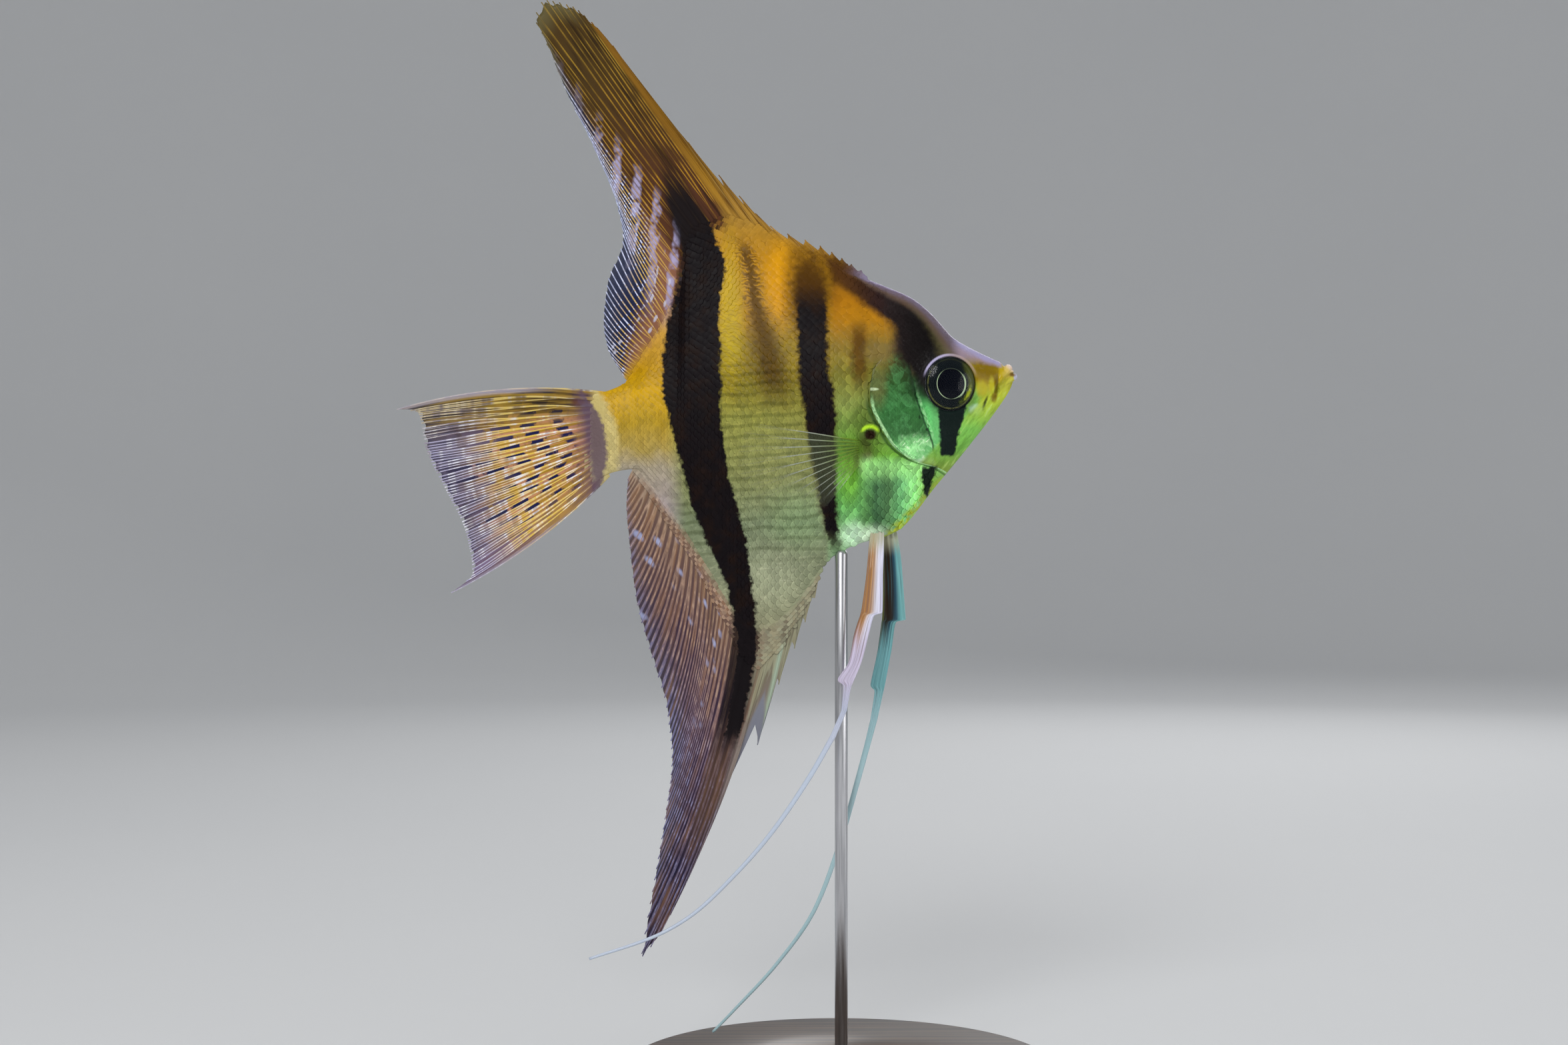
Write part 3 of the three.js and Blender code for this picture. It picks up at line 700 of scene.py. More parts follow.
def flank_colour(p, fine):
    """The ground colour of the flank: silver green below, olive, then gold and orange above."""
    z = p.z + (p.noise(5.0, 3.0) - 0.5) * 5.0
    tone = p.ramp(z, [
        (96, (0.3, 0.3, 0.18)), (106, (0.25, 0.28, 0.165)), (116, (0.2, 0.245, 0.135)),
        (126, (0.25, 0.265, 0.09)), (137, (0.27, 0.27, 0.055)), (144, (0.23, 0.185, 0.014)),
        (152, (0.32, 0.21, 0.006)), (158, (0.45, 0.23, 0.003)), (170, (0.47, 0.22, 0.006)),
        (178, (0.42, 0.23, 0.03)),
    ])
    tone = p.dab(tone, -12.6, 165, 2.6, 7, 0.7, 0.85, (0.72, 0.32, 0.001))
    tone = p.dab(tone, -22.6, 158, 2.4, 13, 0.7, 0.55, (0.62, 0.46, 0.01))
    tone = p.dab(tone, -8, 117, 6, 5, 0.8, 0.6, (0.24, 0.36, 0.17))
    tone = p.dab(tone, -14, 105, 6, 5, 0.8, 0.6, (0.38, 0.41, 0.26))
    # A broad brown shade between the bars, drawn in fine wavy lines.
    faint = [(174, -20.5), (168, -18.6), (161, -17.4), (155, -16), (149, -14.6), (143, -13.6), (134, -13)]
    waves = p.math("SINE", (p.z + (p.noise(2.2) - 0.5) * 3.4 + p.x * 0.2) * 7.4)
    away = abs(p.x - p.curve(p.z, faint) + (fine - 0.5) * 2.8)
    wide = 2.2 + p.z.ease(164, 150) * 3.2 - waves * 1.1
    amount = p.z.ease(136, 147) * p.z.ease(175, 170) * 0.86
    tone = p.blend((away / wide).ease(1.0, 0.1) * amount, tone, (0.075, 0.034, 0.003))
    crests = waves.ease(0.3, 0.9) * p.z.ease(138, 144) * p.z.ease(164, 158)
    tone = p.blend(crests * 0.4, tone, p.times(tone, (0.5, 0.46, 0.4)))
    # Darker lines between the rows of scales as painted shade, and pale dashes as painted highlights.
    rows = p.math("SINE", (p.z - p.x * 0.06 + (p.noise(7.0) - 0.5) * 2.0) * 3.0)
    rows = rows.ease(0.0, 0.95) * p.noise(3.0, stretch=(0.3, 1, 1)).ease(0.3, 0.55)
    rows = rows * p.z.ease(106, 112) * p.z.ease(152, 146)
    tone = p.blend(rows * 0.7, tone, p.times(tone, (0.54, 0.56, 0.48)))
    dashes = p.noise(1.0, 2.0, at=p.slant(4, 1.5, 0.42)).ease(0.56, 0.68) * p.z.ease(92, 104)
    tone = p.blend(dashes * p.z.ease(150, 138) * 0.4, tone, p.times(tone, (1.7, 1.6, 1.7)))
    rear = p.ramp(z, [
        (120, (0.4, 0.34, 0.33)), (127, (0.42, 0.36, 0.25)), (131, (0.42, 0.31, 0.08)),
        (136, (0.42, 0.27, 0.02)), (142, (0.58, 0.33, 0.003)), (147, (0.5, 0.27, 0.002)),
        (154, (0.6, 0.33, 0.05)), (162, (0.5, 0.34, 0.3)),
    ])
    return p.blend(p.x.ease(-31, -36), tone, rear)


def shoulder_colour(p, fine):
    """In front of the middle bar: orange at the nape, green over the belly."""
    z = p.z + (fine - 0.5) * 3.0
    tone = p.ramp(z, [
        (108, (0.4, 0.66, 0.35)), (114, (0.24, 0.5, 0.2)), (119, (0.15, 0.46, 0.13)),
        (128, (0.12, 0.35, 0.03)), (134, (0.16, 0.29, 0.05)), (140, (0.22, 0.27, 0.06)),
        (146, (0.2, 0.18, 0.022)), (152, (0.25, 0.16, 0.02)), (157, (0.46, 0.2, 0.004)),
        (161, (0.4, 0.16, 0.002)), (168, (0.19, 0.085, 0.006)),
    ])
    away = abs(p.x - 3.5 + (fine - 0.5) * 2.0)
    faint = away.ease(2.3, 0.5) * p.z.ease(140, 148) * p.z.ease(158, 153)
    tone = p.blend(faint * 0.85, tone, BROWN)
    tone = p.dab(tone, 7.5, 150.2, 3, 2.2, 0.5, 0.7, (0.2, 0.14, 0.04), (fine - 0.5) * 0.8)
    # Painted shade above the root of the pectoral fin.
    tone = p.dab(tone, 5, 134, 3.4, 7, 0.6, 0.6, (0.06, 0.11, 0.01))
    # The fleshy root of the pectoral fin.
    tone = p.blend(p.spot(4.2, 130, 1.9, 3.6, 0.4) * 0.8, tone, p.ramp(p.z, [
        (125, (0.24, 0.2, 0.15)), (128, (0.16, 0.13, 0.08)), (130.5, (0.05, 0.07, 0.012)),
        (133, (0.04, 0.045, 0.008)),
    ]))
    tone = p.dab(tone, 1.4, 126, 2.4, 6, 0.7, 0.6, (0.16, 0.42, 0.02))
    tone = p.dab(tone, 4, 113.6, 4.0, 2.4, 0.7, 0.85, (0.6, 0.86, 0.6))
    ridge = p.curve(p.x, RIDGE) - p.z + (fine - 0.5) * 1.5
    return p.blend(ridge.ease(4.8, 2.6) * 0.85, tone, BROWN)


def breast_colour(p, fine):
    """Under the gill cover: dark green at its middle and bright towards the throat."""
    tone = p.ramp(p.x + (fine - 0.5) * 2.5, [
        (1, (0.15, 0.44, 0.14)), (4, (0.11, 0.3, 0.08)), (7, (0.055, 0.15, 0.06)), (9.5, (0.09, 0.22, 0.08)),
        (12, (0.17, 0.5, 0.18)), (14.5, (0.34, 0.84, 0.28)), (18, (0.26, 0.5, 0.05)),
    ])
    tone = p.blend(p.z.ease(123.5, 128) * 0.9, tone, (0.3, 0.68, 0.2))
    tone = p.blend(p.z.ease(117, 113) * p.spot(5, 112, 5, 5, 0.5), tone, (0.6, 0.8, 0.56))
    throat = (p.x - p.z).ease(-106.2, -104) * fine.ease(0.3, 0.6)
    return p.blend(throat, tone, (0.44, 0.52, 0.03))


def crumpled(p):
    """Painted light on the head's skin, its broken shine: light and shade over its facets, glints along the
    creases between them.
    """
    bent = (p.noise(2.0, 2.0) - 0.5) * 1.6
    folded = p.vector(p.x + bent, p.y, p.z + bent * 1.3)
    grain = p.noise(0.7, 3.0, at=p.slant(-50, 1.6, 0.6))
    facet_light = p.cells(1.7, at=folded, output="Color") * 0.45 + grain * 0.55
    crease_glint = p.cells(1.7, "DISTANCE_TO_EDGE", at=folded).ease(0.14, 0.0)
    return facet_light, crease_glint * p.noise(1.5).ease(0.5, 0.66)


def cover_colour(p, fine, facet_light, crease_glint):
    """The gill cover: dark green at its middle; low down, green with painted highlights and glints that make
    it shine like crumpled foil.
    """
    tone = p.ramp(p.z + (fine - 0.5) * 3.0, [
        (127, (0.22, 0.54, 0.19)), (130, (0.1, 0.34, 0.1)), (134, (0.04, 0.14, 0.04)),
        (139, (0.032, 0.14, 0.034)), (143, (0.028, 0.1, 0.022)), (147, (0.035, 0.055, 0.014)),
        (150, (0.08, 0.052, 0.02)), (152, (0.1, 0.062, 0.04)),
    ])
    # Painted highlights on the facets that catch the light, and on the creases.
    painted_highlight = facet_light.ease(0.42, 0.68) * 0.42 * p.z.ease(151, 148)
    tone = p.blend(painted_highlight, tone, (0.09, 0.32, 0.1))
    tone = p.blend(crease_glint * 0.18, tone, (0.14, 0.42, 0.16))
    shade = p.x.ease(10.5, 14.5) * p.z.ease(139, 143) * p.z.ease(150, 147)
    tone = p.blend(shade * 0.7, tone, (0.012, 0.03, 0.011))
    tone = p.dab(tone, 7.0, 144, 1.8, 4.5, 0.6, 0.8, (0.13, 0.14, 0.04))
    tone = p.dab(tone, 6.6, 142.8, 0.9, 0.25, 0.5, 1, (0.5, 0.62, 0.36), (p.x - 6.6) * 0.5)
    # Painted glints and the bright foil of painted highlights low on the cover.
    glint = p.noise(1.0, 2.0, at=p.slant(40, 1.7, 0.34)).ease(0.6, 0.7)
    foil_shine = p.blend(facet_light.ease(0.25, 0.75), (0.15, 0.5, 0.15), (0.38, 0.82, 0.34))
    foil_shine = p.blend(p.math("MAXIMUM", crease_glint * 0.8, glint), foil_shine, (0.7, 0.95, 0.6))
    tone = p.blend(p.spot(15.6, 130.9, 4.2, 2.6, 0.45, (fine - 0.5) * 0.9), tone, foil_shine)
    # A painted highlight streak along the cover's lower edge.
    return p.dab(tone, 17.3, 128.3, 2.4, 0.8, 0.5, 1, (0.6, 0.86, 0.55))


def cheek_colour(p, fine, facet_light, lines):
    """The cheek: green, yellow towards the mouth, with pale and dark lines that run up to it, partly its own
    mottling and partly painted glints and shade on its folds.
    """
    cheek = p.ramp(p.x + (fine - 0.5) * 1.5, [
        (15, (0.06, 0.32, 0.08)), (17.5, (0.14, 0.58, 0.16)), (19.5, (0.16, 0.54, 0.16)),
        (24.5, (0.22, 0.58, 0.12)), (27, (0.22, 0.55, 0.09)), (28.5, (0.42, 0.5, 0.03)),
        (31, (0.5, 0.52, 0.02)),
    ])
    # Painted shade on some of the facets.
    cheek = p.blend(facet_light.ease(0.35, 0.7) * 0.4, cheek, p.times(cheek, (0.6, 0.64, 0.6)))
    jawed = p.x.ease(24.0, 26.0)
    # Darker and paler lines towards the jaw: painted shade and glints on the folds, over the skin's own
    # streaks.
    cheek = p.blend(lines.ease(0.5, 0.34) * jawed * 0.5, cheek, p.times(cheek, (0.5, 0.56, 0.4)))
    cheek = p.blend(lines.ease(0.58, 0.68) * jawed * 0.5, cheek, (0.5, 0.82, 0.4))
    # A painted highlight: a bright mint glint on the cheek.
    cheek = p.dab(cheek, 27.0, 138.9, 1.2, 1.0, 0.6, 0.95, (0.6, 0.92, 0.62), (fine - 0.5) * 1.4)
    cheek = p.blend((p.z + p.x * 0.1).ease(145.2, 147.6), cheek, snout_colour(p, fine))
    cheek = p.dab(cheek, 25.5, 142.4, 1.3, 3.6, 0.6, 0.75, (0.09, 0.14, 0.008))
    cheek = p.dab(cheek, 28.2, 143.2, 1.5, 1.5, 0.5, 0.8, (0.5, 0.42, 0.01), (fine - 0.5))
    # The flat bone that hangs from the corner of the mouth, and the gold skin before it.
    cheek = p.dab(cheek, 30.15, 142.9, 0.6, 2.4, 0.4, 0.85, (0.52, 0.46, 0.02), (fine - 0.5))
    return p.dab(cheek, 32.3, 145.0, 0.7, 2.6, 0.4, 0.8, (0.52, 0.38, 0.004), (fine - 0.5))


def snout_colour(p, fine):
    """Gold, brighter at the lips, with a brown patch."""
    snout = p.ramp(p.x, [
        (24, (0.1, 0.085, 0.03)), (25.8, (0.3, 0.23, 0.006)), (28, (0.34, 0.22, 0.001)),
        (31, (0.3, 0.21, 0.002)), (32.2, (0.5, 0.35, 0.005)), (34, (0.52, 0.37, 0.02)),
    ])
    return p.dab(snout, 29.0, 146.9, 3.0, 2.2, 0.8, 0.8, (0.19, 0.115, 0.001), (fine - 0.5) * 1.4)


def jaw_colour(p, lines):
    """The keel from the throat to the chin: green, then yellow, with darker and paler streaks along it that
    are partly its own mottling and partly painted shade and glints.
    """
    edge = p.ramp(p.z, [
        (126, (0.28, 0.36, 0.03)), (131, (0.2, 0.5, 0.07)), (135, (0.24, 0.62, 0.1)),
        (139, (0.42, 0.62, 0.06)), (142, (0.57, 0.64, 0.04)), (146, (0.52, 0.46, 0.06)),
    ])
    # Painted shade and painted glints in streaks along the jaw's folds.
    edge = p.blend(lines.ease(0.52, 0.4) * 0.55, edge, p.times(edge, (0.46, 0.5, 0.36)))
    return p.blend(lines.ease(0.57, 0.66) * 0.5, edge, (0.58, 0.8, 0.2))


def head_colour(p, fine):
    """The gill cover, cheek, snout and jaw, and the folds between them."""
    lines = p.noise(1.0, 2.0, at=p.slant(54, 4.2, 1.0)) * 0.7
    lines = lines + p.noise(1.0, 2.0, at=p.slant(48, 2.0, 0.5)) * 0.3
    facet_light, crease_glint = crumpled(p)
    tone = cover_colour(p, fine, facet_light, crease_glint)
    groove = [
        (149, 13.2), (144, 14.2), (141.6, 14.7), (136.8, 16.3), (133.2, 17.8), (130.8, 18.4), (127, 18.9),
    ]
    fold = p.x - p.curve(p.z, groove) + (fine - 0.5) * 0.4
    tone = p.blend(fold.ease(-0.1, 0.3), tone, cheek_colour(p, fine, facet_light, lines))
    # Along the cheek's fold: a painted shade line in its groove and a painted highlight on the lip beside it.
    low = p.z.ease(127.5, 129) * p.z.ease(146, 142.5)
    tone = p.blend(abs(fold).ease(0.32, 0.06) * low * 0.85, tone, (0.015, 0.07, 0.02))
    fold_highlight = abs(fold - 0.6).ease(0.45, 0.1) * low * fine.ease(0.35, 0.55)
    tone = p.blend(fold_highlight * 0.7, tone, (0.36, 0.78, 0.34))
    specks = p.math("MAXIMUM", p.spot(15.5, 137.3, 0.22, 0.4), p.spot(17.0, 134.8, 0.3, 0.25))
    tone = p.blend(specks * 0.8, tone, (0.01, 0.03, 0.01))
    jaw = (p.x - p.z).ease(-113.4, -111.8)
    tone = p.blend(jaw * 0.9, tone, jaw_colour(p, lines))
    # The dark line before the flat bone at the mouth's corner, and the slit behind it, darkened as painted
    # shade.
    inner = [(148, 31.5), (146.7, 31.35), (144.5, 31.25), (142.2, 31.05), (141, 30.7)]
    seam = abs(p.x - p.curve(p.z, inner)).ease(0.62, 0.12)
    seam = seam * p.z.ease(140.4, 141.6) * p.z.ease(147, 144.6)
    tone = p.blend(seam * 0.85, tone, (0.13, 0.08, 0.001))
    tone = p.dab(tone, 30.75, 141.4, 0.6, 1.0, 0.4, 0.75, (0.22, 0.15, 0.002))
    slit = (abs(p.x - 28.9 - (p.z - 140.3) * 0.35) + (fine - 0.5) * 0.5).ease(0.5, 0.0)
    slit = slit * p.spot(28.95, 140.4, 1.2, 1.3, 0.6)
    tone = p.blend(slit * 0.9, tone, (0.03, 0.035, 0.002))
    tone = p.dab(tone, 16.0, 144.3, 1.9, 3.6, 0.5, 0.85, (0.009, 0.022, 0.008))
    return p.dab(tone, 33.4, 146.2, 1.0, 0.7, 0.5, 0.7, (0.6, 0.46, 0.08))


def over_head(p, fine, tone):
    """The head up to the gill cover's edge, with a painted shadow just under that edge and a painted
    highlight along its lip.
    """
    gill = [
        (172, 12), (158, 9.4), (150, 6.6), (146, 6), (143, 5.6), (139, 5.9), (136.8, 6.9), (134.4, 8.2),
        (131.9, 9.8), (129.8, 12.2), (128.3, 15), (127.2, 18.9), (124, 24), (118, 30),
    ]
    from_gill = p.x - p.curve(p.z, gill)
    upper = p.z.ease(144, 150)
    sharp = from_gill.ease(-0.15, 0.15)
    soft = (from_gill + (fine - 0.5) * 2.0).ease(1.5, 5.0)
    is_head = sharp * (1 - upper) + soft * upper
    tone = p.blend(is_head, tone, head_colour(p, fine))
    # Painted shadow just under the gill cover's lower edge.
    low = p.z.ease(142, 138.5)
    tone = p.blend(abs(from_gill + 0.6).ease(0.7, 0.1) * low * 0.7, tone, (0.02, 0.07, 0.015))
    # Painted highlight along the lip of that edge.
    edge = abs(from_gill - 0.35 + (fine - 0.5) * 0.4).ease(0.45, 0.16) * low
    return p.blend(edge * p.noise(2.2).ease(0.3, 0.5) * 0.9, tone, (0.46, 0.8, 0.38))


def over_fin_pit(p, tone):
    """The hollow over the pectoral fin, darkened as painted shade, and the bright skin round it."""
    pit_x, pit_z = FIN_PIT
    # Painted shade in the hollow.
    tone = p.dab(tone, pit_x, pit_z, 1.15, 1.0, 0.3, 1, (0.02, 0.01, 0.004))
    arc = p.spot(pit_x, pit_z + 0.3, 1.9, 1.7, 0.22) * (1 - p.spot(pit_x, pit_z + 0.1, 1.4, 1.25, 0.22))
    return p.blend(arc * p.z.ease(133.9, 134.9), tone, (0.5, 0.85, 0.03))


def over_nape(p, fine, tone):
    """The dark band from the nape to the eye."""
    nape = p.ramp(p.x + (fine - 0.5) * 3.0, [
        (0, (0.085, 0.032, 0.006)), (4, (0.05, 0.02, 0.008)), (7, (0.028, 0.012, 0.01)),
        (10, (0.014, 0.008, 0.008)), (14, (0.007, 0.005, 0.005)), (20, (0.004, 0.003, 0.003)),
    ])
    return p.blend(band(p, NAPE_BAND, 138.5, 176, soft=1.7, fade=1.4, ragged=0.8), tone, nape)


def over_ridge(p, fine, tone):
    """The pale strip along the upper edge, from the nape to the snout: partly its own mauve, partly a painted
    highlight of light from above, lilac on the brow, with a painted highlight line along the crest.
    """
    ridge = p.curve(p.x, RIDGE) - p.z + (fine - 0.5) * 0.8
    strip = p.curve(p.x, [
        (-3, 0.3), (2, 0.8), (6, 1.8), (10, 2.5), (14, 2.9), (17, 3.6), (20, 4.8), (22.5, 5.2),
        (25, 4), (28, 2.4), (31, 1.5), (34, 0.7),
    ])
    on_strip = (ridge / strip).ease(1.2, 0.5)
    pale = p.blend(fine.ease(0.3, 0.7), (0.13, 0.095, 0.12), MAUVE)
    lower = (ridge / strip).ease(0.25, 0.7) * (1 - p.x.ease(20, 24) * 0.5)
    pale = p.blend(lower, pale, (0.115, 0.075, 0.055))
    brow = p.blend(ridge.ease(0.6, 2.2), LILAC, (0.34, 0.25, 0.32))
    pale = p.blend(p.x.ease(21.5, 24.5), pale, brow)
    strip_end = p.x.ease(32.8, 31.8)
    tone = p.blend(on_strip * p.x.ease(0, 5) * strip_end * 0.92, tone, pale)
    # A painted highlight line along the crest.
    crest_highlight = ridge.ease(0.55, 0.15) * p.x.ease(2, 7) * strip_end
    return p.blend(crest_highlight * 0.6, tone, (0.42, 0.38, 0.56))


def over_lips(p, fine, tone):
    """A fleshy upper lobe, the dark corner under it and the pale rim of the lower lip."""
    lobe = p.spot(33.95, 147.4, 1.15, 1.1, 0.2, (fine - 0.5) * 0.3)
    flesh = p.blend((p.x + p.z).ease(180.4, 182), (0.68, 0.5, 0.12), (0.8, 0.62, 0.52))
    tone = p.blend(lobe * 0.95, tone, flesh)
    tone = p.dab(tone, 35.35, 145.6, 0.55, 0.8, 0.3, 1, (0.52, 0.52, 0.66))
    return p.dab(tone, 34.6, 146.1, 0.6, 0.42, 0.6, 0.85, (0.14, 0.06, 0.015))


def over_bars(p, fine, tone):
    """The bars under the eye, at the throat and over the flank, and the brown shade round the middle one."""
    tone = p.blend(band(p, EYE_BAR, 129.6, 140, soft=0.3, fade=0.35, ragged=0.5), tone, (0.003, 0.01, 0.008))
    mark = band(p, THROAT_MARK, 121.4, 127.4, soft=0.35, fade=0.4, ragged=0.7)
    tone = p.blend(mark, tone, (0.008, 0.016, 0.01))
    tone = p.dab(tone, -6.6, 163, 4.4, 9.0, 0.6, 0.88, (0.05, 0.018, 0.002), (fine - 0.5) * 0.7)
    fringe = band(p, MIDDLE_BAR, 111.2, 166, fade=4, soft=1.1, ragged=0.8)
    tone = p.blend(fringe * 0.75, tone, (0.06, 0.022, 0.002))
    dark = p.math("MAXIMUM", band(p, REAR_BAR, 60, 190), band(p, MIDDLE_BAR, 111.6, 162, fade=3.4, soft=0.5))
    return p.blend(dark, tone, p.blend(p.noise(2.5).ease(0.4, 0.8), INK, (0.013, 0.006, 0.004)))


def over_tail_root(p, fine, tone):
    """The root of the tail fin: cream, then a purple grey band."""
    cream = [(143, -49.5), (138.4, -46.6), (134.6, -45.2), (129.6, -45), (125, -45.5)]
    tone = p.blend((p.curve(p.z, cream) - p.x + (fine - 0.5) * 2.0).ease(-1.0, 0.8) * 0.85, tone, CREAM)
    return p.blend(tail_band(p, fine), tone, (0.115, 0.07, 0.115))


def draw_markings(p):
    """The markings of the whole body, the same on the skin and on the scales."""
    fine = p.noise(1.1, 3.0)
    tone = flank_colour(p, fine)
    tone = p.blend(p.x.ease(-3.5, -1), tone, shoulder_colour(p, fine))
    under = p.x.ease(2.5, 5) * p.z.ease(130, 127.5)
    tone = p.blend(under, tone, breast_colour(p, fine))
    tone = over_fin_pit(p, over_head(p, fine, tone))
    for layer in (over_nape, over_ridge, over_lips, over_bars, over_tail_root):
        tone = layer(p, fine, tone)
    return tone


def tail_band(p, fine):
    """The crescent of purple grey over the tail fin's root."""
    right = [
        (144, -52.5), (141.8, -51.8), (138.4, -49.3), (134.6, -47.8), (129.6, -47.4), (125, -48.2),
        (122, -49.5),
    ]
    left = [
        (144, -54), (141.8, -53.4), (138.4, -52.9), (134.6, -52.4), (129.6, -51.6), (125, -51), (122, -51),
    ]
    waver = (fine - 0.5) * 2.2
    outer = (p.curve(p.z, right) - p.x + waver).ease(-0.5, 0.5)
    return outer * (p.curve(p.z, left) - p.x + waver * 1.4).ease(1.4, -1.6) * 0.88


MARKINGS = Pattern("markings", draw_markings)


def skin_finish():
    """The skin with a fold over the eye painted lilac as a highlight, and a dark ring round the eye."""
    p = Paint("wet_skin")
    tone = MARKINGS.on(p)
    eye = ((p.x - EYE["x"]) ** 2 + ((p.z - EYE["z"]) / EYE["tall"]) ** 2) ** 0.5
    # Painted highlight: the lilac sheen on the skin's fold over the eye.
    lid = eye.ease(5.12, 5.3) * eye.ease(5.85, 5.5) * p.z.ease(145, 147.6)
    lid_highlight = p.blend(p.x.ease(19, 25), (0.62, 0.56, 0.82), (0.5, 0.36, 0.3))
    tone = p.blend(lid * (0.9 - p.x.ease(20, 24) * 0.3), tone, lid_highlight)
    front = p.x.ease(23.6, 26) * p.z.ease(140, 143)
    socket = p.blend(front, (0.006, 0.007, 0.006), (0.1, 0.085, 0.004))
    tone = p.blend(eye.ease(5.25, 5.02), tone, socket)
    pits = p.cells(0.55).ease(0.0, 0.6)
    height = p.noise(0.5, 3.0) * 0.5 + pits * 0.3 + p.noise(2.0, 2.0) + p.noise(1.6, 3.0) * 1.2
    return p.surface(
        tone, Roughness=0.36 + p.noise(1.2) * 0.16, Specular_IOR_Level=0.1,
        Coat_Weight=0.02 + bright(p, tone) * 0.13, Coat_Roughness=0.13,
        Normal=p.relief(height, 0.45, 0.0003),
    )


def bright(p, tone):
    """0 on the black bars, 1 on the bright ground: only the ground shines."""
    return Tone(p, p.node("RGBToBW", sockets={"Color": tone}).outputs[0]).ease(0.01, 0.16)


def scale_finish(name="scales", colour=None):
    """Scales in the body's markings, or in a fin's own colour, with painted highlights on their rims."""
    p = Paint(name)
    tone = colour(p, False)[0] if colour else MARKINGS.on(p)
    shine = bright(p, tone)
    rim, tint = p.read("rim"), p.read("tint")
    # Painted highlights: a net of pale rims, strongest on the breast and behind the gill cover, faint on the
    # gold above.
    highlight_net = p.math("MAXIMUM", p.spot(7, 121, 13, 13, 0.4), p.spot(1.5, 142, 3.2, 11, 0.4) * 0.8)
    highlight_net = p.math("MAXIMUM", highlight_net, 0.42 - p.z.ease(140, 156) * 0.24) * (1 - p.x.ease(17, 19) * 0.6)
    painted_highlight = p.blend(highlight_net, p.times(tone, (1.12, 1.12, 1.14)), p.times(tone, (1.75, 1.7, 1.7)))
    # A darker copy of the colour: painted shade at the scales' middles where the rims are bright.
    painted_shade = p.times(tone, (0.8, 0.79, 0.8))
    even = p.blend(highlight_net * 0.7, tone, painted_shade)
    tone = p.blend(rim.ease(0.3, 0.62), even, painted_highlight)
    # Each scale is also painted a little lighter or darker at random, as painted highlight or shade.
    tone = p.blend(0.25 + highlight_net * 0.35, tone, p.blend(tint.ease(0.1, 0.9), painted_shade, painted_highlight))
    return p.surface(
        tone, Roughness=0.42 + tint * 0.15, Specular_IOR_Level=0.06,
        Coat_Weight=0.012 + shine * 0.09, Coat_Roughness=0.2,
        Normal=p.relief(p.noise(0.25, 2.0) * 0.4 + rim, 0.2, 0.0001),
    )


# ---- Skin -------------------------------------------------------------------------------

SIDE_STEPS = 186
MAP_EDGE = 0.96  # the share of the skin's map that the body takes; the lips take the rest


def skin_map(x, z, side):
    """Where a point of the flank lies on the skin's flat map."""
    along = MAP_EDGE * (x - TAIL_END) / (SNOUT_END - TAIL_END)
    share = (z - bottom(x)) / (top(x) - bottom(x))
    return np.stack([along, np.where(side > 0, 0.5 * share, 1 - 0.5 * share)], -1)


def build_skin(finish):
    """One closed skin over the whole body, with the lips."""
    stations = np.concatenate([
        np.linspace(TAIL_END, -35, 34), np.linspace(-34.6, -29, 24), np.linspace(-28.4, 3.6, 56),
        np.linspace(4, 33.6, 122), np.linspace(33.75, SNOUT_END, 8),
    ])
    turn = np.linspace(-1, 1, SIDE_STEPS)
    share = 0.5 + 0.5 * (0.6 * np.sin(turn * np.pi / 2) + 0.4 * turn)
    x = np.repeat(stations[:, None], SIDE_STEPS, 1)
    z = mix(bottom(x) + SKIN_DEPTH, top(x) - SKIN_DEPTH, share)
    half = np.maximum(flank(x, z) - SKIN_DEPTH, 0.12)
    left = np.stack([x, half, z], -1)
    right = np.stack([x, -half, z], -1)[:, ::-1]
    ridge = np.stack([stations, 0 * stations, top(stations) - SKIN_DEPTH + 0.1], -1)[:, None]
    keel = np.stack([stations, 0 * stations, bottom(stations) + SKIN_DEPTH - 0.1], -1)[:, None]
    rings = np.concatenate([left, ridge, right, keel], 1)
    around = rings.shape[1]
    points = rings.reshape(-1, 3)
    faces, steps = ring_faces(len(stations), around)
    lengths = np.concatenate([0.5 * share, [0.5], 0.5 + 0.5 * share, [1.0], [1.0]])
    u = MAP_EDGE * (stations[steps[..., 0]] - TAIL_END) / (SNOUT_END - TAIL_END)
    corners = np.stack([u, lengths[steps[..., 1]]], -1)
    faces = faces.tolist()
    corners = corners.reshape(-1, 2).tolist()
    for first, flip, u in ((0, True, 0.0), (len(points) - around, False, MAP_EDGE)):
        faces += fan(len(points), first, around, not flip)
        points = np.vstack([points, points[first:first + around].mean(0)])
        corners += [(u, 0.5)] * (3 * around)
    for arc, thick, spot in lip_arcs():
        more, quads = tube(arc, thick, 12)
        faces += [[len(points) + k for k in quad] for quad in quads]
        corners += [spot] * sum(len(quad) for quad in quads)
        points = np.vstack([points, more])
    skin = outward(piece_of("skin", points, faces, {"OFBake": corners}))
    flesh = ("head", "lower_jaw", "gill_cover_left", "gill_cover_right", "trunk", "tail_base")
    return settle(skin, finish, "skin", *flesh)


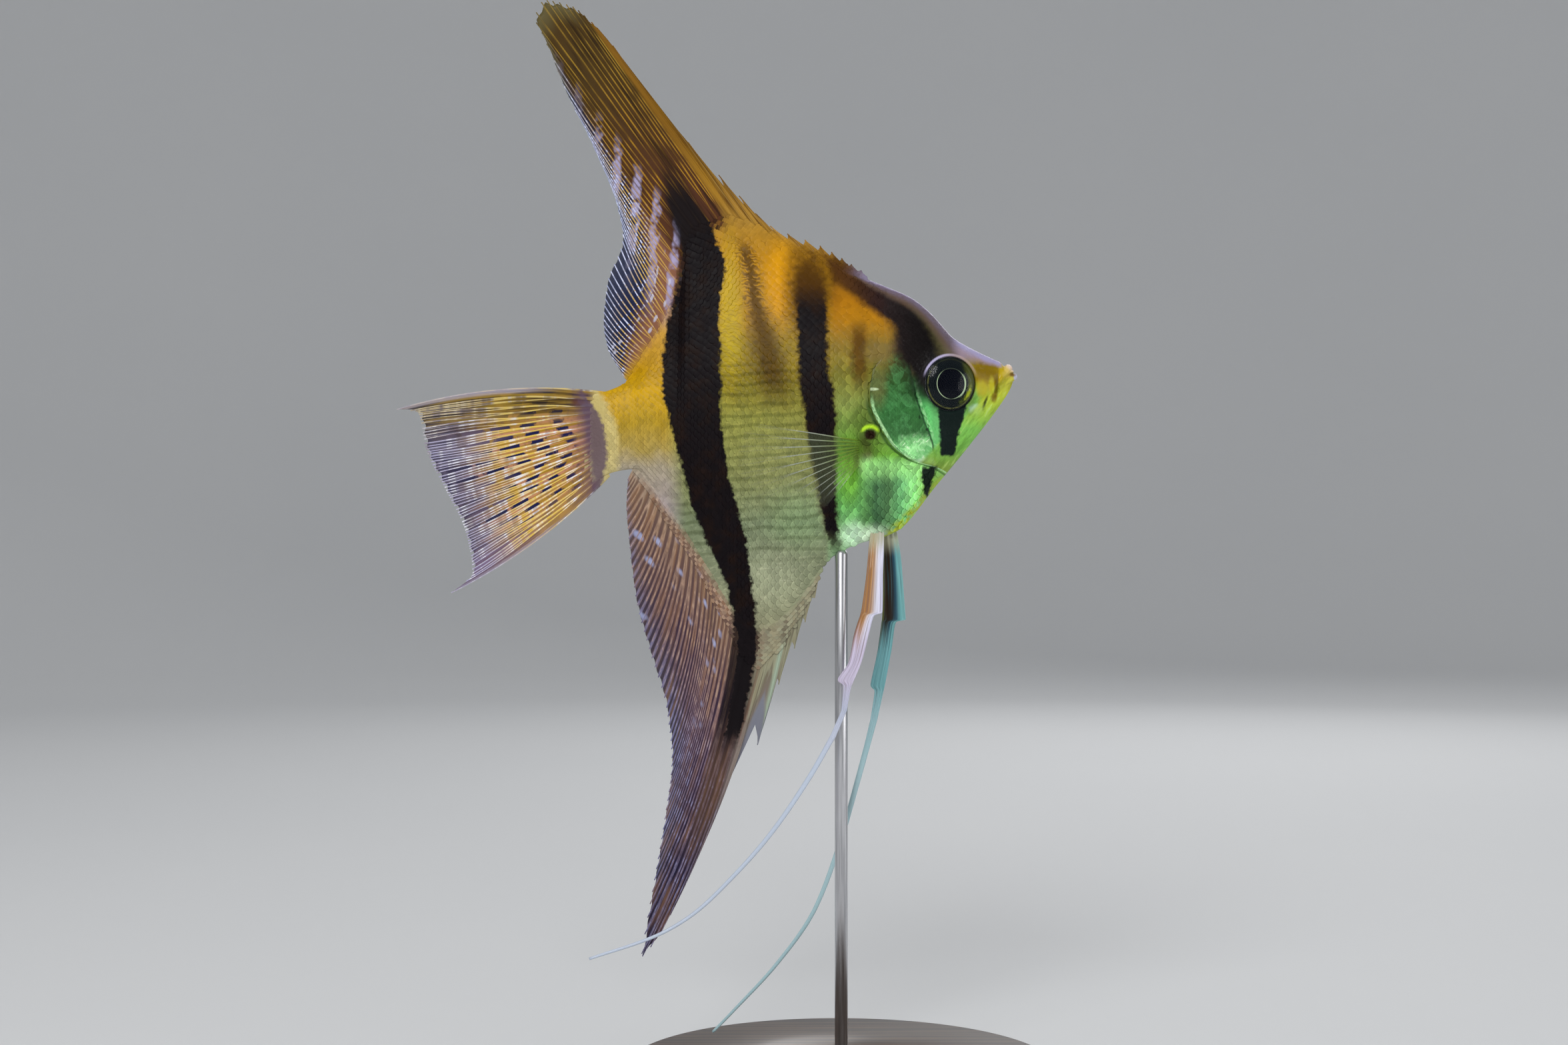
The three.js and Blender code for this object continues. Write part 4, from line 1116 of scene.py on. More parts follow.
def tube(path, thick, around):
    """A closed round tube through points, thick at each point, with domed ends."""
    path = np.asarray(path, float)
    ahead = unit(np.gradient(path, axis=0))
    side = unit(np.cross(ahead, (0.3, 0.1, 1.0)))
    up = np.cross(side, ahead)
    angles = np.linspace(0, 2 * np.pi, around, endpoint=False)
    reach = np.cos(angles)[None, :, None] * side[:, None] + np.sin(angles)[None, :, None] * up[:, None]
    points = (path[:, None] + reach * np.asarray(thick)[:, None, None]).reshape(-1, 3)
    last = len(points)
    faces = ring_faces(len(path), around)[0].tolist()
    faces += fan(last, 0, around, True) + fan(last + 1, last - around, around)
    ends = [path[k] + way * 0.6 * ahead[k] * thick[k] for k, way in ((0, -1), (-1, 1))]
    return np.vstack([points, *ends]), faces


def lip_arcs():
    """The two lips as bent tubes round the front of the mouth."""
    t = np.linspace(-1, 1, 25)
    upper = np.stack([33.75 - 2.0 * t**2, 1.6 * t, 147.3 - 2.2 * t**2], -1)
    lower = np.stack([34.95 - 3.2 * t**2, 1.65 * t, 145.7 - 2.4 * t**2], -1)
    yield upper, 0.3 + 0.62 * (1 - t**2) ** 0.7, (0.985, 0.3)
    yield lower, 0.28 + 0.4 * (1 - t**2) ** 0.7, (0.985, 0.7)


# ---- Scales -----------------------------------------------------------------------------

PITCH = 1.6  # from one scale to the next along a row
ROW_STEP = 0.9
PATCH = 0.0028  # a scale's length on the skin's map


def scale_shape():
    """One scale as a thin lens: its root at the origin, its free edge to +X. Sizes are in its own length."""
    around = 10
    angles = np.linspace(0, 2 * np.pi, around, endpoint=False)
    reach = np.where(np.cos(angles) > 0.1, 0.56, 0.46)
    out = np.stack([0.06 + np.cos(angles) * reach, 0.52 * np.sin(angles), 0.004 + 0.012 * np.cos(angles)], -1)
    inner = out * (0.82, 0.84, 1) + (0.01, 0, 0.012)
    points = np.vstack([out, inner, (0.05, 0, 0.026), (0.05, 0, -0.016)])
    top_hub, low_hub = 2 * around, 2 * around + 1
    faces = []
    for j in range(around):
        k = (j + 1) % around
        faces += [[j, k, around + k, around + j], [around + j, around + k, top_hub], [k, j, low_hub]]
    edge = np.where(np.cos(angles) > 0.1, 1.0, 0.3)
    return piece_of("one_scale", points, faces, values={
        "rim": [*edge, *(edge * 0.45), 0.0, 0.3], "patch": points * (PATCH, PATCH, 0),
    })


def rows_of_scales(fine=1.0):
    """A lattice of scales: x, z, the way their row runs, and their size."""
    marks = [20.5]
    while marks[-1] > -49.5:
        marks.append(marks[-1] - fine * PITCH * row_spread(marks[-1]) ** 0.8)
    marks = np.array(marks)
    halfway = (marks[:-1] + marks[1:]) / 2
    found = []
    rows = int(72 / fine)
    for row in range(-rows, rows + 1):
        x = marks if row % 2 == 0 else halfway
        spread = row_spread(x)
        z = row_axis(x) + row * fine * ROW_STEP * spread
        found.append(np.stack([x, z, np.gradient(z, x), fine * PITCH * spread ** 0.8], -1))
    return np.concatenate(found)


def scale_places():
    """Where the scales of one flank sit."""
    body = rows_of_scales()
    gill = np.interp(body[:, 1], *gill_line())
    body = body[(body[:, 0] < gill - 0.35) & on_flank(body, 0.35)]
    x, z = body[:, 0], body[:, 1]
    near = np.minimum(top(x) - z, z - bottom(x))
    bare = ease(x, -2, 6) * ease(z, 150, 156)
    body[:, 3] *= mix(0.72, 1.0, ease(near, 0.3, 5.5)) * mix(0.6, 1.0, ease(x, -49, -42)) * (1 - 0.2 * bare)
    return np.concatenate([body, head_places()])


def sheath_places(fin):
    """Where the small scales over a fin's root sit: x, z, row, size, ray, reach, sway."""
    ray, along = np.meshgrid(np.linspace(0, fin["rays"] - 1, 8 * fin["rays"]), np.linspace(0, 0.4, 60))
    at_x, sway, at_z, at_reach = (a.ravel() for a in on_ray(fin, ray_curves(fin), ray, along))
    ray = ray.ravel()
    tree = kdtree.KDTree(len(at_x))
    for k, (x, z) in enumerate(zip(at_x, at_z)):
        tree.insert((x, 0, z), k)
    tree.balance()
    rows = rows_of_scales(0.6)
    x, z = rows[:, 0], rows[:, 1]
    rows = rows[((z > top(x) - 0.5) | (z < bottom(x) + 0.5)) & (z > 78) & (z < 182) & (x > -46)]
    found = []
    for x, z, slope, size in rows:
        _, k, away = tree.find((x, 0, z))
        limit = np.interp(ray[k], *zip(*fin["sheath"]))
        if away < 0.4 and at_reach[k] < limit:
            size = size * mix(1.05, 0.8, at_reach[k] / limit)
            found.append((x, z, slope, size, ray[k], at_reach[k], sway[k]))
    return np.array(found)


def row_spread(x):
    """How far the rows spread at x, as a share of their step."""
    return np.interp(x, [-50, -40, -31, -20, 8, 24], [0.56, 0.66, 0.8, 0.94, 1, 0.86])


def row_axis(x):
    """The middle row's height."""
    return np.interp(x, [-50, -30, 6, 20], [133.8, 135.5, 140, 141.5])


def gill_line():
    """The gill cover's edge as x over height."""
    edge = [(172, 12), (158, 8.8), (150.5, 7.6), *((z, x) for x, z in GILL_EDGE), (122, 30), (90, 40)]
    return zip(*sorted(edge))


def on_flank(places, margin):
    """Which places lie on the flank, a margin inside its outline."""
    x, z = places[:, 0], places[:, 1]
    return (z < top(x) - margin) & (z > bottom(x) + margin) & (x > -47.6)


def head_places():
    """Small scales on the gill cover and cheek, none on the snout, brow or lips."""
    step, across = 0.9, 0.5
    found = []
    for row in range(-40, 60):
        x = np.arange(6, 30, step) + (step / 2 if row % 2 else 0)
        z = 140 + row * across + 0.1 * (x - 14)
        found.append(np.stack([x, z, np.full(len(x), 0.1), np.full(len(x), step)], -1))
    small = np.concatenate(found)
    x, z = small[:, 0], small[:, 1]
    gill = np.interp(z, *gill_line())
    eye = np.hypot(x - EYE["x"], (z - EYE["z"]) / EYE["tall"])
    fold, _ = off_line(x, z, CHEEK_FOLD)
    keep = (x > gill + 0.5) & (eye > 6.6) & (fold > 0.5) & (z < 165 - 0.42 * x - 1.5) & (x - z < -114.5)
    keep &= x < 18.5
    return small[keep & on_flank(small, 0.5)]


def build_scales(side, name, shape, finish, chance):
    """The coat of one flank."""
    x, z, slope, size = scale_places().T
    tiny = 0.05
    half = flank(x, z)
    ahead = np.stack([-np.ones(len(x)), -side * (flank(x + tiny, z) - half) / tiny, -slope], -1)
    rise = np.stack([0 * x, side * (flank(x, z + tiny) - half) / tiny, np.ones(len(x))], -1)
    gill = np.interp(z, *gill_line())
    sunk = mix(0.02, -0.035, np.maximum(x > gill, ease(x, gill - 4.5, gill - 0.5) * ease(z, 139, 145)))
    points = np.stack([x, side * (half - SKIN_DEPTH + sunk), z], -1)
    root = np.column_stack([skin_map(x, z, side * np.ones(len(x))), 0 * x])
    values = {"size": size, "tint": chance.random(len(x))}
    return coat_of_scales(name, points, ahead, rise, side, root, values, shape, finish)


def build_sheath(fin, side, name, shape, finish, chance):
    """Small scales over the root of a fin, which hide where it leaves the body."""
    x, z, slope, size, ray, reach, sway = sheath_places(fin).T
    curves = ray_curves(fin)
    base_x, base_z, tip_x, tip_z, _ = (curve(ray) for curve in curves)
    length = np.hypot(tip_x - base_x, tip_z - base_z)
    out_x, out_z = (tip_x - base_x) / length, (tip_z - base_z) / length
    turn = 0.6 * ease(reach, 0, 5)
    thin = np.full(len(x), -0.03 * side)
    ahead = np.stack([mix(-1, out_x, turn), thin, mix(-slope, out_z, turn)], -1)
    rise = np.stack([ahead[:, 2], 0 * x, -ahead[:, 0]], -1)
    points = np.stack([x, sway + side * mix(0.36, 0.28, ease(reach, 0, 8)), z], -1)
    root = np.column_stack([0.02 + 0.96 * ray / fin["rays"], 0.25 + 0.5 * (side < 0) + 0.008 * reach, 0 * x])
    values = {
        "size": size, "tint": chance.random(len(x)), "ray": ray, "reach": reach, "along": reach / length,
    }
    return coat_of_scales(name, points, ahead, rise, side, root, values, shape, finish)


def coat_of_scales(name, points, ahead, rise, side, root, values, shape, finish):
    """Lays one scale on each point, its free edge ahead, by Geometry Nodes."""
    out = np.cross(ahead, rise) * side
    out[:, 1] = np.where(out[:, 1] * side < 0, -out[:, 1], out[:, 1])
    out = unit(out)
    ahead = unit(ahead - out * np.sum(ahead * out, 1)[:, None])
    across = np.cross(out, ahead)
    turns = [Matrix((a, b, c)).transposed().to_euler() for a, b, c in zip(ahead, across, out)]
    lie = [tuple(turn) for turn in turns]
    seeds = piece_of(name, points, [], values={**values, "lie": lie, "root": root})
    jig = Jig(
        "Scale coat", Shape=("Object", shape), Length=("Float", 1.5), Lift=("Float", 0.06), Seed=("Int", 7),
        Finish=("Material", finish),
    )
    one = jig.node("ObjectInfo", sockets={"Object": jig.given["Shape"]}).outputs["Geometry"]
    sway = jig.node("FunctionNodeRandomValue", {"data_type": "FLOAT_VECTOR"}, {
        0: (-0.012, -0.036, -0.06), 1: (0.012, -0.016, 0.06), "Seed": jig.given["Seed"],
    })
    tilt = jig.node("FunctionNodeRotateRotation", {"rotation_space": "LOCAL"}, {
        "Rotation": jig.stored("lie", "FLOAT_VECTOR"), "Rotate By": sway.outputs[0],
    })
    grow = jig.node("ShaderNodeMath", {"operation": "MULTIPLY"}, {
        0: jig.stored("size", "FLOAT"), 1: jig.given["Length"],
    })
    spread = jig.node("InstanceOnPoints", sockets={
        "Points": jig.given["Geometry"], "Instance": one,
        "Rotation": tilt.outputs[0], "Scale": grow.outputs[0],
    })
    whole = jig.node("RealizeInstances", sockets={"Geometry": spread.outputs[0]}).outputs[0]
    flat = jig.node("ShaderNodeVectorMath", sockets={
        0: jig.stored("root", "FLOAT_VECTOR"), 1: jig.stored("patch", "FLOAT_VECTOR"),
    })
    mapped = jig.node("StoreNamedAttribute", {"data_type": "FLOAT2", "domain": "CORNER"}, {
        "Geometry": whole, "Name": "OFBake", "Value": flat.outputs[0],
    })
    coat = jig.finish_on(seeds, mapped.outputs[0])
    for key in ("size", "lie", "root", "patch"):
        if key in coat.data.attributes:
            coat.data.attributes.remove(coat.data.attributes[key])
    return settle(coat, finish, "skin")


# ---- Fins -------------------------------------------------------------------------------

STEPS_BETWEEN = 6  # the skin's steps from one ray to the next
STEPS_ALONG = 64


def ray_curves(fin):
    """The key rays' five numbers as curves over the ray."""
    table = np.array(fin["key"], float)
    return [through(np.column_stack([table[:, 0], table[:, c]])) for c in range(1, 6)]


def on_ray(fin, curves, ray, along):
    """A point of a fin in the middle plane, and its distance from the base."""
    base_x, base_z, tip_x, tip_z, bow = (curve(ray) for curve in curves)
    dx, dz = tip_x - base_x, tip_z - base_z
    push = 4 * bow * along * (1 - along)
    sway = fin["sway"] * along**2 * np.sin(4 * np.pi * ray / fin["rays"])
    return base_x + dx * along - dz * push, sway, base_z + dz * along + dx * push, np.hypot(dx, dz) * along


def rim_notch(fin, ray):
    """How much of the rays' length the skin between them leaves free."""
    part = ray - np.floor(ray)
    wave = 1 - np.abs(2 * part - 1)
    spiny = np.where(ray < fin["spines"] - 1, fin["notch"], 0.0)
    soft = np.where(ray >= fin["spines"] - 1, 0.014, 0.0)
    return spiny * wave ** 0.8 + soft * wave


def fin_skin(fin, name, finish, slot, *nodes):
    """The thin skin between the rays, as one closed sheet."""
    curves = ray_curves(fin)
    rays = np.linspace(0, fin["rays"] - 1, STEPS_BETWEEN * (fin["rays"] - 1) + 1)
    alongs = np.linspace(0, 1, STEPS_ALONG)

    def at(ray, along):
        x, y, z, _ = on_ray(fin, curves, ray, along * (1 - rim_notch(fin, ray)))
        part = np.abs(2 * (ray - np.floor(ray)) - 1)
        half = mix(fin["thick"], FIN_RIM, along ** 0.5) * mix(0.45, 1.0, part**3)
        return x, y, z, half

    points, faces = slab(rays, alongs, at)
    u, v = np.meshgrid(rays, alongs, indexing="ij")
    reach = on_ray(fin, curves, u, v)[3]
    sheet = outward(piece_of(name, points, faces, values=on_both(ray=u, along=v, reach=reach)))
    return settle(sheet, finish, slot, *nodes)


def ray_lines(fin):
    """Each ray's line, and from its forks on the lines of its branches: points, girth and place."""
    curves = ray_curves(fin)
    for ray in range(fin["rays"]):
        spiny = ray < fin["spines"] or ray in (0, fin["rays"] - 1)
        for branch in (0,) if spiny else fin["branches"]:
            along = np.linspace(0.0, 1.0 if spiny else 1.008, 38)
            forks = branch or ()
            offset = sum(side * spread * ease(along, start, start + 0.3) for side, spread, start in forks)
            wave = 0 if spiny else fin["waver"] * np.sin(8 * along + 1.7 * ray) * ease(along, 0.1, 0.5)
            line_ray = np.clip(ray + offset + wave, 0, fin["rays"] - 1)
            x, y, z, reach = on_ray(fin, curves, line_ray, along)
            girth = mix(0.36, 0.12, along ** 0.6) if spiny else mix(fin["thick"] * 0.85, 0.13, along ** 0.5)
            y = y + (offset * 0.12 if np.ndim(offset) else 0)
            yield np.stack([x, y, z], -1), girth, np.full(len(x), float(ray)), along, reach


def ray_piece(name, lines, finish, slot, sides=6):
    """Rays as tubes along their lines, by Geometry Nodes."""
    places, girth, ray, along, reach = zip(*lines)
    values = {"girth": np.concatenate(girth) * MM, "ray": np.concatenate(ray)}
    values.update(along=np.concatenate(along), reach=np.concatenate(reach))
    wire = piece_of(name, np.concatenate(places), [], values=values)
    ends = np.cumsum([len(line) for line in places])
    first = np.delete(np.arange(ends[-1]), ends - 1)
    wire.data.edges.add(len(first))
    wire.data.edges.foreach_set("vertices", np.stack([first, first + 1], -1).astype(np.int32).ravel())
    wire.data.update()
    jig = Jig("Fin rays", Sides=("Int", sides), Finish=("Material", finish))
    line = jig.node("MeshToCurve", sockets={"Mesh": jig.given["Geometry"]}).outputs[0]
    circle = jig.node("CurvePrimitiveCircle", sockets={"Resolution": jig.given["Sides"], "Radius": 1.0})
    rod = jig.node("CurveToMesh", sockets={
        "Curve": line, "Profile Curve": circle.outputs[0], "Scale": jig.stored("girth", "FLOAT"),
        "Fill Caps": True,
    })
    return settle(outward(jig.finish_on(wire, rod.outputs[0])), finish, slot)


def pectoral_fin(side, word, skin, bone):
    """A small clear fan of skin and rays held off the flank."""
    table = through(PECTORAL["reach"])
    base_x, base_z, half_base, base_side = PECTORAL["base"]
    first, last = PECTORAL["turn"]

    def spot_at(u, v):
        turn = np.radians(mix(first, last, u))
        reach = v * PECTORAL["length"] * table(u)
        x = base_x + np.cos(turn) * reach
        y = side * (base_side - 0.35 + PECTORAL["splay"] * v * (1 - 0.35 * v))
        z = base_z + half_base * (1 - 2 * u) + np.sin(turn) * reach
        return x, y, z, reach

    count = PECTORAL["rays"]

    def at(u, v):
        part = np.abs(2 * (u * (count - 1) % 1) - 1)
        x, y, z, _ = spot_at(u, v * (1 - 0.035 * (1 - part)))
        return x, y, z, mix(0.22, 0.06, v) * mix(0.5, 1, part**3)

    us, vs = np.linspace(0, 1, STEPS_BETWEEN * (count - 1) + 1), np.linspace(0, 1, 26)
    points, faces = slab(us, vs, at)
    u, v = np.meshgrid(us, vs, indexing="ij")
    values = on_both(ray=u * (count - 1), along=v)
    sheet = outward(piece_of(f"pectoral_skin_{word}", points, faces, values=values))
    settle(sheet, skin, "pectoral_fin", f"pectoral_fin_{word}")
    lines = []
    for ray in range(count):
        for branch in (-1, 1):
            along = np.linspace(0, 1.01, 22)
            u = np.clip((ray + branch * 0.2 * ease(along, 0.45, 1)) / (count - 1), 0, 1)
            x, y, z, reach = spot_at(u, along)
            girth = mix(0.2, 0.05, along**0.6)
            lines.append((np.stack([x, y, z], -1), girth, np.full(22, float(ray)), along, reach))
    ray_piece(f"pectoral_rays_{word}", lines, bone, "pectoral_fin", 5)


def pelvic_fin(fin, finish):
    """A bladed fin that runs out into one long thread."""
    blade, thread = np.array(fin["blade"], float), np.array(fin["thread"], float)
    steps = np.linspace(0, len(blade) - 1, 12 * (len(blade) - 1) + 1)
    z, front, rear = (through(list(enumerate(column)))(steps) for column in blade.T)
    marks = np.concatenate([[0], np.cumsum(np.hypot(*np.diff(thread, axis=0).T))])
    smooth_x = through(np.column_stack([marks, thread[:, 0]]))
    smooth_z = through(np.column_stack([marks, thread[:, 1]]))
    t = np.linspace(0, marks[-1], 90)
    line = np.stack([smooth_x(t), smooth_z(t)], -1)
    ahead = unit(np.gradient(line, axis=0))
    half = mix(fin["width"][0], fin["width"][1], t / marks[-1]) / 2
    across = np.stack([-ahead[:, 1], ahead[:, 0]], -1)
    edge_a = np.concatenate([np.stack([front, z], -1), line + across * half[:, None]])
    edge_b = np.concatenate([np.stack([rear, z], -1), line - across * half[:, None]])
    rows = np.arange(len(edge_a))
    us = np.linspace(0, 1, 19)
    tip_z, root_z = thread[-1][1], blade[1][0]

    def at(u, row):
        row = row.astype(int)
        x = mix(edge_a[row, 0], edge_b[row, 0], u)
        height = mix(edge_a[row, 1], edge_b[row, 1], u)
        down = (root_z - height) / (root_z - tip_z)
        on_thread = row >= len(z)
        round_off = np.sqrt(np.maximum(1 - (2 * u - 1) ** 2, 0.02))
        ridge = np.where(on_thread, round_off, mix(0.45, 1.0, np.abs(np.cos(np.pi * 3 * u)) ** 3))
        thick = np.where(on_thread, 0.4 - 0.18 * (row - len(z)) / (len(rows) - len(z)), 0.34)
        away = fin["root"] + fin["splay"] * down - 1.1 * ease(height, 106, 113)
        return x, fin["side"] * away, height, thick * ridge

    points, faces = slab(us, rows, at)
    u, v = np.meshgrid(us, rows, indexing="ij")
    values = on_both(across=u, along=v / (len(z) - 1))
    made = outward(piece_of(f"pelvic_blade_{fin['word']}", points, faces, values=values))
    return settle(made, finish, "pelvic_fin", f"pelvic_fin_{fin['word']}")


def streaks(p, fine=0.5, long=14.0):
    """Noise drawn out along the rays."""
    at = p.vector(p.read("ray") / fine, p.read("reach") / long, 0.0)
    return p.noise(1.0, 3.0, at=at)


def ribs(p, ray, along, fork):
    """1 on the rays and their branches, 0 midway between them."""
    whole = abs(p.math("FRACT", ray) * 2 - 1)
    split = 1 - abs(p.math("FRACT", ray * 2) * 2 - 1)
    share = along.ease(fork, fork + 0.25)
    return whole * (1 - share) + split * share


def spiny_tone(p, reach, lines, rib):
    """The dorsal fin's spiny part: gold, with soft brown streaks."""
    tone = p.blend(reach.ease(6, 20), (0.42, 0.22, 0.03), (0.24, 0.115, 0.008))
    tone = p.blend(lines.ease(0.42, 0.6), tone, (0.13, 0.055, 0.005))
    return p.blend(rib.ease(0.5, 1.0) * 0.35, tone, (0.5, 0.33, 0.1))


def sail_tone(p, ray, reach, lines, on_rib):
    """The dorsal fin's sail: dark between its fine gold rays."""
    dark = p.blend((reach + lines * 14).ease(14, 50), (0.085, 0.03, 0.012), (0.065, 0.034, 0.006))
    gold = p.blend(reach.ease(16, 50), (0.42, 0.21, 0.015), (0.34, 0.2, 0.02))
    gilt = p.noise(1.0, 2.0, at=p.vector(ray * 2.3, reach * 0.12, 5.0)).ease(0.36, 0.6)
    sail = p.blend(on_rib * (gilt * 0.8 + 0.15), dark, gold)
    return p.blend(lines.ease(0.5, 0.66) * 0.6, sail, (0.012, 0.005, 0.002))


def soft_tone(p, ray, along, reach, lines, on_rib):
    """The dorsal fin's soft rear part: orange at its base, deep blue between pale rays at its rim, with
    painted glints on the rays.
    """
    base = p.blend(on_rib * 0.8, (0.26, 0.11, 0.06), (0.62, 0.36, 0.07))
    # Painted glints sparkling along the rays.
    ray_glints = p.noise(1.0, 2.0, at=p.vector(ray * 5.3, reach * 1.1, 8.0))
    shine = p.blend(along.ease(0.5, 0.95), (0.62, 0.4, 0.1), (0.4, 0.44, 0.62))
    shine = p.blend(ray_glints.ease(0.5, 0.6), shine, (0.7, 0.74, 0.95))
    rim = p.blend(on_rib, (0.01, 0.016, 0.06), shine)
    return p.blend((along + (lines - 0.5) * 0.2).ease(0.18, 0.55), base, rim)


def dorsal_colour(p, bony):
    """The dorsal fin's colour on its rays (bony) or its skin, and how opaque that skin is."""
    ray, along, reach = p.read("ray"), p.read("along"), p.read("reach")
    lines = streaks(p)
    rib = ribs(p, ray, along, 0.08)
    on_rib = 1.0 if bony else rib.ease(0.68, 1.0)
    tone = spiny_tone(p, reach, lines, rib)
    sail = sail_tone(p, ray, reach, lines, on_rib)
    tone = p.blend((ray + (lines - 0.5) * 1.5).ease(11.9, 12.9), tone, sail)
    edge = ray.ease(11.5, 12.0) * ray.ease(12.9, 12.3) * reach.ease(4, 12)
    tone = p.blend(edge * 0.8, tone, p.blend(reach.ease(12, 30), (0.4, 0.2, 0.015), (0.24, 0.11, 0.007)))
    rear = (ray + (lines - 0.5) * 1.2 + reach * 0.05).ease(20.2, 22.4)
    tone = p.blend(rear, tone, soft_tone(p, ray, along, reach, lines, on_rib))
    across = p.x - (p.z - 175) * 0.09
    waves = p.math("SINE", (across + 30.1 + (p.noise(4.0) - 0.5) * 2.4) * 1.42)
    pale = waves.ease(0.0, 0.8) * ray.ease(17.2, 18.8) * ray.ease(29, 24.5)
    pale = pale * (1 - rib.ease(0.5, 0.9) * 0.6) * p.noise(2.4, 2.0).ease(0.34, 0.56)
    pale = pale * reach.ease(0.8, 2.5) * (1 - p.z.ease(190, 202) * 0.8)
    tone = p.blend(pale * (0.3 if bony else 0.85), tone, (0.46, 0.42, 0.66))
    specks = p.cells(1.5, at=p.vector(ray * 0.9, reach, 0.0)).ease(0.3, 0.14)
    specks = specks * ray.ease(20, 23) * reach.ease(13, 7)
    tone = p.blend(specks * 0.7, tone, (0.6, 0.6, 0.75))
    tips = along.ease(0.9, 1.0) * ray.ease(13, 15) * ray.ease(22, 19)
    tone = p.blend(tips * 0.4, tone, (0.22, 0.2, 0.08))
    # The rear bar runs on up the sail.
    left = (ray + (lines - 0.5) * 1.6).ease(14.2, 15.4)
    right = (ray + (lines - 0.5) * 1.6 + reach * 0.28).ease(21.4, 20.0)
    black = left * right * (reach + lines * 12).ease(31, 15)
    tone = p.blend(black * 0.97, tone, INK)
    root = (reach + (lines - 0.5) * 3.0).ease(3.4 + ray.ease(14, 12.5) * 8.0, 0.8)
    clear = along.ease(0.85, 1.0) * 0.08 + rear * along.ease(0.3, 0.9) * 0.25
    return p.blend(root, tone, MARKINGS.on(p)), 0.98 - clear


def anal_colour(p, bony):
    """The anal fin's colour and how opaque its skin is."""
    ray, along, reach = p.read("ray"), p.read("along"), p.read("reach")
    lines = streaks(p)
    rib = ribs(p, ray, along, 0.3)
    on_rib = 1.0 if bony else rib.ease(0.3, 0.75)
    light = p.ramp(reach, [
        (0, (0.36, 0.27, 0.19)), (7, (0.33, 0.21, 0.14)), (16, (0.27, 0.165, 0.14)),
        (30, (0.19, 0.125, 0.17)), (50, (0.13, 0.1, 0.17)), (68, (0.15, 0.14, 0.24)),
    ])
    deep = p.ramp(reach, [
        (0, (0.22, 0.14, 0.09)), (7, (0.13, 0.075, 0.065)), (20, (0.05, 0.028, 0.05)),
        (50, (0.016, 0.012, 0.036)), (68, (0.016, 0.014, 0.04)),
    ])
    light = p.blend(along.ease(0.75, 1.0) * ray.ease(9, 13) * 0.6, light, (0.2, 0.22, 0.42))
    # Painted glints along the rays, and flecks of the deep colour between them.
    ray_glints = p.noise(1.0, 2.0, at=p.vector(ray * 5.3, reach * 0.5, 8.0))
    shine = p.blend(reach.ease(20, 40), (0.6, 0.4, 0.28), (0.36, 0.36, 0.6))
    light = p.blend(ray_glints.ease(0.5, 0.64) * 0.5, light, shine)
    light = p.blend(ray_glints.ease(0.46, 0.34) * 0.4, light, deep)
    tone = p.blend(on_rib, deep, light)
    tone = p.blend(lines.ease(0.45, 0.7) * 0.4, tone, (0.36, 0.18, 0.08))
    specks = p.cells(3.2, at=p.vector(ray * 1.1, reach, 0.0)).ease(0.3, 0.12)
    specks = specks * reach.ease(3, 8) * reach.ease(34, 26) * ray.ease(11, 14)
    tone = p.blend(specks * (0.3 if bony else 0.8), tone, (0.42, 0.46, 0.72))
    front = (ray + (lines - 0.5) * 1.5).ease(7.2, 5.8)
    pale = p.blend(lines.ease(0.4, 0.6), (0.3, 0.27, 0.17), (0.36, 0.37, 0.25))
    pale = p.blend(lines.ease(0.48, 0.62) * 0.7, pale, (0.12, 0.08, 0.05))
    pale = p.blend(reach.ease(14, 30) * 0.7, pale, (0.24, 0.18, 0.18))
    tone = p.blend(front * (1 - reach.ease(26, 50) * 0.7), tone, pale)
    edge = ray.ease(3.5, 3.9) * ray.ease(4.4, 4.0)
    edge = edge * reach.ease(6, 12) * reach.ease(28, 22)
    tone = p.blend(edge * 0.7, tone, (0.42, 0.55, 0.42))
    tip = ray.ease(3.2, 3.8) * ray.ease(5.4, 4.6) * reach.ease(23, 27)
    tone = p.blend(tip * 0.8, tone, (0.2, 0.22, 0.28))
    left = (ray + (lines - 0.5)).ease(6.2, 7.0)
    right = (ray + (lines - 0.5) * 1.6 + reach * 0.03).ease(10.8, 9.6)
    bar = left * right * (reach + lines * 8).ease(38, 24)
    fading = left * right * reach.ease(20, 30) * reach.ease(56, 40)
    tone = p.blend(fading * 0.55, tone, (0.12, 0.065, 0.03))
    both = p.math("MAXIMUM", band(p, REAR_BAR, 70.5, 120, soft=0.4, fade=4.0), bar * 0.9)
    tone = p.blend(both, tone, INK)
    clear = along.ease(0.55, 1.0) * ray.ease(8, 12) * 0.22
    return p.blend(reach.ease(3.0, 0.6), tone, MARKINGS.on(p)), 0.97 - clear


def tail_bone(p, high, light):
    """The tail fin's rays: gilt near their root, ochre in the upper part."""
    ray, reach = p.read("ray"), p.read("reach")
    thin = p.noise(1.0, 2.0, at=p.vector(ray * 6.1, reach * 0.3, 9.0))
    gilt = thin.ease(0.46, 0.56) * reach.ease(30, 20)
    tone = p.blend(gilt * 0.75, light, (0.75, 0.48, 0.01))
    tone = p.blend(thin.ease(0.44, 0.36) * 0.5, tone, (0.2, 0.12, 0.1))
    ochre = p.blend(thin.ease(0.4, 0.55), (0.14, 0.09, 0.02), (0.6, 0.46, 0.12))
    return p.blend(high * 0.7, tone, ochre)


